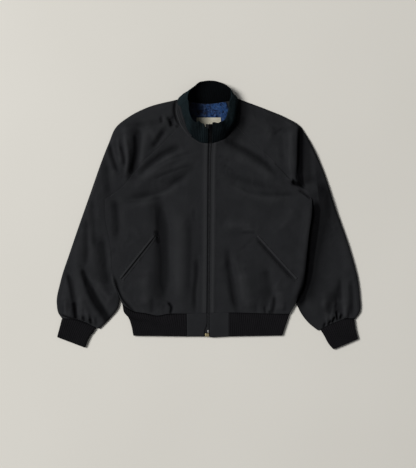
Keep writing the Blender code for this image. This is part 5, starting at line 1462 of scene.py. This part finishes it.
def collar_middle(face, normal, shares, up):
    """The middle of the band: its smooth form with sway, lumps along its top, notch and slump."""
    from_zip = smooth_step(np.minimum(shares, 1 - shares) / 0.05)
    band = np.stack(np.broadcast_arrays(shares[None] * NECK_LENGTH, COLLAR_HEIGHT * up[:, None]), axis=-1)
    sway = (1.6 * uneven(band, 26, 7) + 0.9 * uneven(band, 12, 8)) * from_zip * (up[:, None] * 1.2)
    middle = face - COLLAR_WALL / 2 * normal + sway[..., None] * normal
    top_x = middle[-1, :, 0]
    lumps = sum(lump.height * np.exp(-((top_x - lump.x) / lump.width)**2) for lump in COLLAR_LUMPS)
    lumps = lumps * (middle[-1, :, 1] < 300)
    middle = middle + (lumps * (up**4)[:, None])[..., None] * np.array([0, 1.0, 0.8])
    middle = notched(middle, shares, up)
    slump = (2.2 * uneven(band[-1:], 19, 9)[0] * from_zip)[None, :, None] * (up**3)[:, None, None]
    return middle + slump * np.array([0, 0.35, 1.0])


def collar_faces(middle, face, normal, shares, up, ribs):
    """Outer and inner face of the band, with its ribs and its rounded top."""
    closing = np.clip((1 - up) / COLLAR_TURN, 0, 1)
    roundness = np.sqrt(1 - (1 - closing)**2)
    half = (COLLAR_WALL / 2) * roundness + 0.05
    wave = (0.5 - 0.5 * np.cos(2 * pi * shares * ribs))**0.75
    clear = np.clip(face[..., 2] / RIB_CLEARANCE, 0, 1)
    clear[0] = 0
    ease = clear * roundness[:, None] * smooth_step(up / 0.08)[:, None]
    outer = middle + (half[:, None] + RIB_RAISE * wave * ease)[..., None] * normal
    inner = middle - (half[:, None] + 0.5 * RIB_RAISE * (1 - wave) * ease - 0.4)[..., None] * normal
    for sheet in (outer, inner):
        sheet[..., 2] = np.maximum(sheet[..., 2], 0)
    return outer, inner


def make_collar(material):
    """Rib stand collar: one band, folded double along its top, from the zip round to the zip."""
    ribs = rib_count(NECK_LENGTH)
    shares = np.linspace(0, 1, COLUMNS_A_RIB * ribs + 1)
    up = np.r_[0.0, 0.02, 0.05, np.linspace(0.09, 0.93, 24), 0.955, 0.975, 0.99, 1.0]
    face = collar_face(shares, up, stand_off=0.1)
    face[0, :, 2] -= COLLAR_SINK
    normal = outward_from_neck(face)
    middle = collar_middle(face, normal, shares, up)
    square = square_to(face[0], face[-1])
    normal[0] -= np.maximum((normal[0] * square).sum(1), 0)[:, None] * square
    normal[0] /= np.linalg.norm(normal[0], axis=1)[:, None]
    outer, inner = collar_faces(middle, face, normal, shares, up, ribs)
    mesh = wall_mesh("knit_collar", outer, inner)
    add_knit_places(mesh, np.repeat(shares[None] * ribs * 2, len(up), axis=0),
                    np.repeat((up * COLLAR_HEIGHT / COURSE_PITCH)[:, None], len(shares), axis=1))
    add_values(mesh, "shade", collar_shade(outer, shares, up))
    return add_piece("knit_collar", mesh, material, "collar")


def make_neck_fold(material):
    """The shell's allowance, which stands up along the foot of the collar on the wearer's right."""
    shares = np.linspace(*NECK_FOLD_ENDS, 120)
    fade = smooth_step((shares - shares[0]) / 0.05) * smooth_step((shares[-1] - shares) / 0.10)
    reach = NECK_FOLD_HEIGHT * (0.25 + 0.75 * fade)
    steps = np.linspace(0, 1, 15)
    rows = np.linspace(0, NECK_FOLD_HEIGHT, 40)
    face = collar_face(shares, rows, stand_off=0.1)
    normal = outward_from_neck(face)
    outer = np.empty((len(steps), len(shares), 3))
    away = np.empty_like(outer)
    for column in range(len(shares)):
        for axis in range(3):
            outer[:, column, axis] = np.interp(steps * reach[column], rows, face[:, column, axis])
            away[:, column, axis] = np.interp(steps * reach[column], rows, normal[:, column, axis])
    lines = 0.7 * np.cos(2 * pi * NECK_FOLD_LINES * steps)[:, None] * fade
    lift = (NECK_FOLD_THICK + lines) * (1 - steps[:, None]**6) + 0.3
    mesh = wall_mesh("shell_neck_fold", outer + lift[..., None] * away, outer + 0.1 * away)
    # Painted highlight along the fold's foot, through the relief, and painted shade in its furrows.
    tone_shift = np.repeat((NECK_FOLD_HIGHLIGHT * np.clip(1 - 4 * steps, 0, 1))[:, None], len(shares), axis=1)
    add_values(mesh, "relief", np.r_[tone_shift.ravel(), np.zeros(tone_shift.size)])
    furrows = 0.5 * np.clip(-np.cos(2 * pi * NECK_FOLD_LINES * steps), 0, 1)[:, None] * fade
    add_values(mesh, "shade", np.tile(furrows.ravel(), 2))
    return add_piece("shell_neck_fold", mesh, material, "collar")


# ----------------------------------------------------- pockets, lining, label

def make_welt(side, upper, material):
    """One welt of a pocket: a folded strip beside the mouth, lying on the front."""
    start, end = np.array(side.pocket, float)
    length = np.linalg.norm(end - start)
    run = (end - start) / length
    across = np.array([-run[1], run[0]])
    direction = side.sign if upper else -side.sign
    offset = direction * (WELT_SLIT + WELT_WIDTH) / 2
    end_turn, edge_turn = WELT_ROUND
    middle = np.linspace(end_turn, length - end_turn, 70)
    steps = np.r_[0, 0.5, 1.2, middle, length - 1.2, length - 0.5, length]
    widths = np.linspace(-0.5, 0.5, 13)
    plan = start + steps[:, None, None] * run + (offset + widths * WELT_WIDTH)[None, :, None] * across
    from_edge = 0.5 - np.abs(widths)
    from_slit = 0.5 + widths * direction
    crown = side.welt_crown[0 if upper else 1] * (1 - 0.5 * from_slit)
    crown = crown * np.sqrt(np.clip(1 - (1 - np.clip(from_edge / edge_turn, 0, 1))**2, 0, 1))
    from_end = np.minimum(steps, length - steps)
    crown = crown[None] * np.sqrt(1 - (1 - np.clip(from_end / end_turn, 0, 1))**2)[:, None]
    stitched = 0.3 * np.exp(-((widths * direction - 0.3) / 0.06)**2)[None]
    base = front_surface(plan, side) + WELT_GAP
    outer = raise_to(plan, base + WELT_WALL + crown - stitched + 0.2 * uneven(plan, 9, side.seed))
    inner = raise_to(plan, base)
    which = "upper" if upper else "lower"
    name = f"shell_welt_{side.name}_{which}"
    mesh = wall_mesh(name, outer, inner)
    # Painted highlight on the welt, strongest at its slit side, through the relief; painted shade from the
    # pocket's mouth, through the shade attribute.
    highlight = side.welt_wear[0 if upper else 1] * (1 - 0.6 * from_slit)
    tone_shift = np.repeat(highlight[None], len(steps), axis=0).ravel()
    add_values(mesh, "relief", np.r_[tone_shift, np.zeros(tone_shift.size)])
    add_values(mesh, "shade", np.tile(deep_shade(plan, side).ravel(), 2))
    return add_piece(name, mesh, material, f"welt_{side.name}_{which}")


def make_lining(material):
    """Lining of the back inside the neck, crinkled over the back's inner face."""
    bottom = chain_of_lines([LINING_SIDE_RIGHT[-1], LINING_SIDE_LEFT[-1]])
    rows = np.linspace(0, 1, 84)
    plan = grid(spline(LINING_SIDE_RIGHT), spline(LINING_SIDE_LEFT), spline(LINING_TOP), bottom,
                rows, LINING_STEP)
    bent = plan + 5 * np.stack([uneven(plan, 13, 81), uneven(plan, 13, 82)], axis=-1)
    ridges = 1 - 2 * np.abs(uneven(bent, 14, 83))
    sides = distance_to(sampled(spline(LINING_TOP), 20), plan)
    crinkle = (0.8 * ridges + 0.6 * uneven(plan, 30, 84)) * smooth_step(sides / 10)
    height = CAD_SHELL_WALL + LYING_GAP + LINING_WALL + 0.9 + crinkle
    under_label = ((plan[..., 0] > LABEL_X[0] - 6) & (plan[..., 0] < LABEL_X[1] + 6)
                   & (plan[..., 1] > LABEL_Y[0] - 6) & (plan[..., 1] < LABEL_Y[1] + 2))
    height = np.where(under_label, CAD_SHELL_WALL + LYING_GAP + LINING_WALL, height)
    outer = raise_to(plan, height)
    mesh = wall_mesh("lining_back", outer, outer - (0, 0, LINING_WALL))
    # Painted shadow of the collar over the lining at smaller x.
    shade = 0.85 * smooth_step((LINING_LIT_FROM - plan[..., 0]) / LIT_OVER)
    add_values(mesh, "shade", np.tile(shade.ravel(), 2))
    return add_piece("lining_back", mesh, material, "neck_lining")


def make_label(material):
    x, y = np.meshgrid(np.linspace(*LABEL_X, 48), np.linspace(*LABEL_Y, 20))
    plan = np.stack([x, y], axis=-1)
    edge = np.minimum.reduce([x - LABEL_X[0], LABEL_X[1] - x, y - LABEL_Y[0], LABEL_Y[1] - y])
    height = (CAD_SHELL_WALL + LINING_WALL + 2 * LYING_GAP + LABEL_WALL + 0.5
              + 0.5 * uneven(plan, 16, 85) * smooth_step(edge / 5) - 0.25 * np.exp(-((edge - 2.2) / 0.7)**2))
    outer = raise_to(plan, height)
    mesh = wall_mesh("label_neck", outer, outer - (0, 0, LABEL_WALL))
    # Painted shadow of the collar over the label at smaller x.
    shade = 0.75 * smooth_step((LABEL_LIT_FROM - x) / LIT_OVER)
    add_values(mesh, "shade", np.tile(shade.ravel(), 2))
    return add_piece("label_neck", mesh, material, "neck_label")


# ---------------------------------------------------------------------- zip

def zip_rows(distances, first_y, collar_top):
    """Points of the cloth's outer face along the zip, with normals, a column for each distance."""
    stations = np.array(ZIP_STATIONS, float)
    up = np.r_[COLLAR_ROWS[:-1], collar_top]
    ends = [collar_face(np.array(shares), up, COLLAR_ROWS) for shares in ((0.0, 0.01), (0.99, 1.0))]
    end_left, end_right = ends[0][:, 0], ends[1][:, 1]
    end_normals = [outward_from_neck(end) for end in ends]
    columns = []
    for distance in distances:
        half_gap = stations[-1, 2]
        beyond = max(abs(distance) - half_gap, 0.0)
        neck = spline(NECK_FRONT_LEFT if distance > 0 else NECK_FRONT_RIGHT)(beyond / NECK_FRONT_LENGTH)
        between = (stations[:, 0] > first_y) & (stations[:, 0] < ZIP_BODY_TOP)
        y = np.r_[first_y, stations[between, 0], ZIP_BODY_TOP, neck[1] - 1]
        body = np.stack([np.interp(y, stations[:, 0], stations[:, 1]) + distance, y,
                         np.full(len(y), UPPER_TOP)], axis=-1)
        if beyond:
            share = beyond / NECK_LENGTH
            shares = (share, share + 0.01) if distance > 0 else (1 - share - 0.01, 1 - share)
            face = collar_face(np.array(shares), up, COLLAR_ROWS)
            column = 0 if distance > 0 else 1
            collar, collar_normal = face[:, column], outward_from_neck(face)[:, column]
        else:
            weight = (distance + half_gap) / (2 * half_gap)
            collar = weight * end_left + (1 - weight) * end_right
            collar_normal = weight * end_normals[0][:, 0] + (1 - weight) * end_normals[1][:, 1]
            collar_normal[:, 0] = 0
        normal = np.concatenate([np.tile((0.0, 0.0, 1.0), (len(y), 1)), collar_normal])
        columns.append((np.concatenate([body, collar]), normal))
    points = np.stack([column[0] for column in columns], axis=1)
    normals = np.stack([column[1] for column in columns], axis=1)
    return points, normals / np.linalg.norm(normals, axis=-1)[..., None]


def finer_rows(points, normals, step):
    """The same sheet with rows a step apart along its first column."""
    walked = lengths_along(points[:, 0])
    at = np.linspace(0, walked[-1], round(walked[-1] / step) + 1)
    both = [np.stack([[np.interp(at, walked, values[:, c, k]) for k in range(3)]
                      for c in range(values.shape[1])]).transpose(2, 0, 1) for values in (points, normals)]
    return both[0], both[1] / np.linalg.norm(both[1], axis=-1)[..., None]


def make_tape(side, material):
    """Woven tape beside the chain, with a cord along its inner edge."""
    distances = sorted(side.sign * across for across in TAPE_COLUMNS)
    points, normals = finer_rows(*zip_rows(distances, TAPE_END, TAPE_TOP), 6.0)
    across = np.abs(np.array(distances))
    depth = CAD_SHELL_WALL + LYING_GAP - 0.25 * np.exp(-((across - 1.2) / 1.0)**2)[None, :, None]
    outer, inner = points - depth * normals, points - (depth + TAPE_WALL) * normals
    name = f"tape_{side.name}"
    return add_piece(name, wall_mesh(name, outer, inner), material, f"zip_tape_{side.name}")


def tooth(size):
    """Corners and faces of one zip tooth, a block with a rounded nose towards +X."""
    length, depth, height = size
    outline = [(-0.5, -0.5), (0.22, -0.5), (0.42, -0.34), (0.5, 0.0), (0.42, 0.34), (0.22, 0.5), (-0.5, 0.5)]
    points = []
    for level, draw in ((-0.5, 1.0), (0.25, 1.0), (0.5, 0.72)):
        shorter = 1 if draw == 1 else 0.9
        points += [(x * length * shorter, y * depth * draw, level * height) for x, y in outline]
    count = len(outline)
    faces = [[k + i for i in (0, 1)] + [k + count + 1, k + count] for level in (0, 1)
             for k in range(level * count, level * count + count - 1)]
    faces += [[level * count + count - 1, level * count, (level + 1) * count, (level + 1) * count + count - 1]
              for level in (0, 1)]
    faces += [list(range(count))[::-1], list(range(2 * count, 3 * count))]
    return np.array(points), faces


def make_chain(material):
    """Two rows of teeth that mesh, from the bottom pin to the top of the collar."""
    points, normals = zip_rows((0.0, 1.0), CHAIN_END, CHAIN_TOP)
    points, normals = finer_rows(points, normals, TOOTH_PITCH / 2)
    middle, normal = points[:, 0], normals[:, 0]
    along = np.gradient(middle, axis=0)
    along /= np.linalg.norm(along, axis=1)[:, None]
    corners, faces = tooth(TOOTH_SIZE)
    all_points, all_faces = [], []
    for index in range(len(middle)):
        sign = 1 if index % 2 else -1
        across = np.cross(along[index], normal[index])
        place = middle[index] - (CHAIN_SINK + TOOTH_SIZE[2] / 2) * normal[index] + sign * TOOTH_SET * across
        local = corners * (-sign, 1, 1)
        points_here = place + local @ np.array([across, along[index], normal[index]])
        first = len(all_faces) // len(faces) * len(corners)
        all_points.append(points_here)
        flip = sign > 0
        all_faces += [[first + k for k in (face[::-1] if flip else face)] for face in faces]
    mesh = bpy.data.meshes.new("zip_teeth")
    mesh.from_pydata((np.concatenate(all_points) * MM).tolist(), [], all_faces)
    mesh.update()
    # Painted shade on the teeth above ZIP_SHADE_FROM, where they lie in the collar's shade.
    on_collar = smooth_step((np.concatenate(all_points)[:, 1] - ZIP_SHADE_FROM) / ZIP_SHADE_OVER)
    add_values(mesh, "shade", COLLAR_FRONT_SHADE * on_collar)
    return add_piece("zip_teeth", mesh, material, "zip_chain", sharp=35)


# ----------------------------------------------------------------- stitches

STITCH_SIDES = 6
STITCH_RINGS = ((0.0, 0.25), (0.12, 0.8), (0.5, 1.0), (0.88, 0.8), (1.0, 0.25))


def stitch_row(surface, line):
    """Both ends of each stitch along a plan line, on a surface given as a function."""
    walked = lengths_along(line)
    at = np.arange(1.0, walked[-1] - STITCH_LENGTH - 0.3, STITCH_PITCH)
    ends = []
    for offset in (0.0, STITCH_LENGTH):
        plan = np.stack([np.interp(at + offset, walked, axis) for axis in line.T], axis=-1)
        ends.append(raise_to(plan, surface(plan)))
    return list(zip(ends[0], ends[1]))


def make_stitches(name, rows, material):
    """Sewing stitches as one mesh of short capsules, each lying half sunk in the cloth."""
    points, faces = [], []
    for start, end in rows:
        run = end - start
        run_unit = run / np.linalg.norm(run)
        side = np.cross(run_unit, (0, 0, 1))
        side /= np.linalg.norm(side)
        up = np.cross(side, run_unit)
        first = len(points)
        for share, thick in STITCH_RINGS:
            centre = start + share * run + (STITCH_LIFT + 0.12 * sin(pi * share)) * up
            for k in range(STITCH_SIDES):
                turn = 2 * pi * k / STITCH_SIDES
                points.append(centre + thick * STITCH_THICK / 2 * (cos(turn) * side + sin(turn) * up))
        for ring in range(len(STITCH_RINGS) - 1):
            for k in range(STITCH_SIDES):
                a = first + ring * STITCH_SIDES + k
                b = first + ring * STITCH_SIDES + (k + 1) % STITCH_SIDES
                faces.append([a, b, b + STITCH_SIDES, a + STITCH_SIDES])
        last = first + (len(STITCH_RINGS) - 1) * STITCH_SIDES
        faces.append([first + k for k in range(STITCH_SIDES)][::-1])
        faces.append([last + k for k in range(STITCH_SIDES)])
    mesh = bpy.data.meshes.new(name)
    mesh.from_pydata((np.array(points) * MM).tolist(), [], faces)
    mesh.update()
    return add_piece(name, mesh, material, None)


def pocket_box(mouth):
    """Corners of the box of stitches round a pocket's welts."""
    start, end = np.array(mouth, float)
    run = (end - start) / np.linalg.norm(end - start)
    across = (WELT_WIDTH + WELT_SLIT / 2 + BOX_BESIDE_WELT) * np.array([-run[1], run[0]])
    before, after = start - BOX_PAST_MOUTH * run, end + BOX_PAST_MOUTH * run
    return [before - across, before + across, after + across, after - across]


def front_stitches(side, material):
    """Two rows down the zip edge, one beside the neck and the raglan seam, and the pocket's box."""
    def surface(plan):
        return front_surface(plan, side)

    shares = np.linspace(0.01, 0.99, 120)
    edge = zip_edge(side)(shares)
    rows = stitch_row(surface, beside(edge, side.sign * EDGE_STITCHES_AT))
    rows += stitch_row(surface, beside(edge, side.sign * PLACKET_AT))
    rows += stitch_row(surface, beside(spline(side.neck_front)(shares), -side.sign * NECK_STITCHES_AT))
    rows += stitch_row(surface, beside(spline(side.raglan)(shares), -side.sign * RAGLAN_STITCHES_AT))
    corners = pocket_box(side.pocket)
    for first, last in zip(corners, corners[1:] + corners[:1]):
        rows += stitch_row(surface, np.linspace(first, last, 60))
    return make_stitches(f"stitches_front_{side.name}", rows, material)


def sleeve_stitches(side, material):
    def surface(plan):
        return sleeve_surface(plan, side)

    shares = np.linspace(0.02, 0.98, 90)
    rows = stitch_row(surface, beside(spline(side.neck_sleeve)(shares), -side.sign * NECK_STITCHES_AT))
    rows += stitch_row(surface, beside(spline(side.cuff_seam)(shares), side.sign * CUFF_STITCHES_AT))
    return make_stitches(f"stitches_sleeve_{side.name}", rows, material)


# --------------------------------------------------- camera, light and floor

VIEW_HEIGHT = 3.237     # metres, with a lens of 85 mm on a 36 mm sensor
VIEW_MIDDLE = (-0.0015, -0.0557)


FLOOR_HALF = 4.0
FLOOR_BELOW = 0.0003    # the floor lies this far below the jacket, so the two don't flicker
Light = namedtuple("Light", "name place size energy")
LIGHTS = [Light("key", (-8.6, 3.1, 9.2), 5.0, 1850.0), Light("fill", (2.4, -1.0, 4.2), 3.0, 5.0)]
SKY_COLOUR = (0.95, 0.97, 1.0, 1.0)
SKY_STRENGTH = 0.13


def make_floor():
    floor_mesh = bpy.data.meshes.new("floor")
    half = FLOOR_HALF
    floor_mesh.from_pydata([(-half, -half, 0), (half, -half, 0), (half, half, 0), (-half, half, 0)], [],
                           [(0, 1, 2, 3)])
    floor = bpy.data.objects.new("floor", floor_mesh)
    bpy.context.scene.collection.objects.link(floor)
    floor.location.z = -FLOOR_BELOW
    nodes = Nodes("floor", (0.70, 0.68, 0.63), 0.9, specular=0.2)
    tone = nodes.between(nodes.noise(1.2, 2), 0, 1, 0.3, 0.7)
    colour = nodes.colours(tone, (0.70, 0.675, 0.615), (0.73, 0.705, 0.645))
    nodes.link(colour, nodes.shader.inputs["Base Color"])
    floor_mesh.materials.append(nodes.material)


def make_stage():
    """Pale floor, camera straight above, and soft light from the left."""
    make_floor()
    camera_data = bpy.data.cameras.new("camera")
    camera_data.lens = 85.0
    camera = bpy.data.objects.new("camera", camera_data)
    camera.location = (*VIEW_MIDDLE, VIEW_HEIGHT)
    bpy.context.scene.collection.objects.link(camera)
    bpy.context.scene.camera = camera

    for row in LIGHTS:
        light_data = bpy.data.lights.new(row.name, "AREA")
        light_data.size = row.size
        light_data.energy = row.energy
        light = bpy.data.objects.new(row.name, light_data)
        light.location = row.place
        light.rotation_euler = (-Vector(row.place)).to_track_quat("-Z", "Y").to_euler()
        bpy.context.scene.collection.objects.link(light)

    world = bpy.data.worlds.new("studio")
    world.use_nodes = True
    sky = world.node_tree.nodes["Background"]
    sky.inputs["Color"].default_value = SKY_COLOUR
    sky.inputs["Strength"].default_value = SKY_STRENGTH
    bpy.context.scene.world = world
    bpy.context.scene.view_settings.view_transform = "Standard"


# -------------------------------------------------------------------- build

# What each sheet was cut to: width, length and area, in mm and square mm.
Cut = namedtuple("Cut", "width length area")


def build_body():
    """Shell, cuffs, pockets, zip tapes and hem; gives back the back, which the rest lies on."""
    shell, thread, tape = shell_material(), thread_material(), tape_material()
    knit = knit_material("rib_knit", (0.0092, 0.0088, 0.0100), (0.0140, 0.0134, 0.0148))
    back = make_back(shell)
    for side in (LEFT, RIGHT):
        front = make_front(side, shell)
        sleeve = make_sleeve(side, shell)
        make_cuff(side, knit)
        for upper in (True, False):
            make_welt(side, upper, shell)
        front_stitches(side, thread)
        sleeve_stitches(side, thread)
        make_tape(side, tape)
    hem = make_hem_rib(knit)
    for side, zip_side, rib_side, bottom in (
            (LEFT, TAB_ZIP_SIDE_LEFT, TAB_SIDE_LEFT, TAB_BOTTOM_LEFT),
            (RIGHT, TAB_ZIP_SIDE_RIGHT, TAB_SIDE_RIGHT, TAB_BOTTOM_RIGHT)):
        make_hem_tab(side, zip_side, rib_side, bottom, shell)
    return back, shell


def build_neck(back, shell):
    knit = knit_material("collar_knit", (0.0100, 0.0162, 0.0188), (0.0170, 0.0265, 0.0305))
    make_collar(knit)
    make_neck_fold(shell)
    lining = make_lining(lining_material())
    make_label(label_material())


def build_zip():
    """The teeth, and better materials for the CAD nodes that stay."""
    make_chain(metal_material("zip_teeth", (0.045, 0.046, 0.050), (0.075, 0.076, 0.08), 0.55))
    dark_metal = metal_material("zip_dark", (0.009, 0.009, 0.010), (0.022, 0.022, 0.024), 0.5)
    finishes = {
        "zip_slider": dark_metal,
        "zip_pull": dark_metal,
        "zip_box": metal_material("zip_brass", (0.50, 0.42, 0.24), (0.30, 0.24, 0.13), 0.38),
        "zip_pin": metal_material("zip_nickel", (0.62, 0.61, 0.58), (0.38, 0.37, 0.35), 0.3),
    }
    for node, material in finishes.items():
        finish_node(node, material)


def finish_node(node, material):
    """A CAD node kept as it is, with a better material."""
    piece = bpy.data.objects[node]
    for slot in piece.material_slots:
        slot.material = material


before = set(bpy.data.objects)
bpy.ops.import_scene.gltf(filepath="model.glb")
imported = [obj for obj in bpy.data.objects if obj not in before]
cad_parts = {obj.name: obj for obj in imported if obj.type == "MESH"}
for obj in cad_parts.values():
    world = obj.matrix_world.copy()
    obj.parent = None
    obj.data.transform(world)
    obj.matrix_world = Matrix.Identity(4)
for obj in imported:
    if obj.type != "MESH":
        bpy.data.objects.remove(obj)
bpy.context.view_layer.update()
NECK_SEAM, NECK_LENGTH = neck_seam()
make_stage()
build_neck(*build_body())
build_zip()
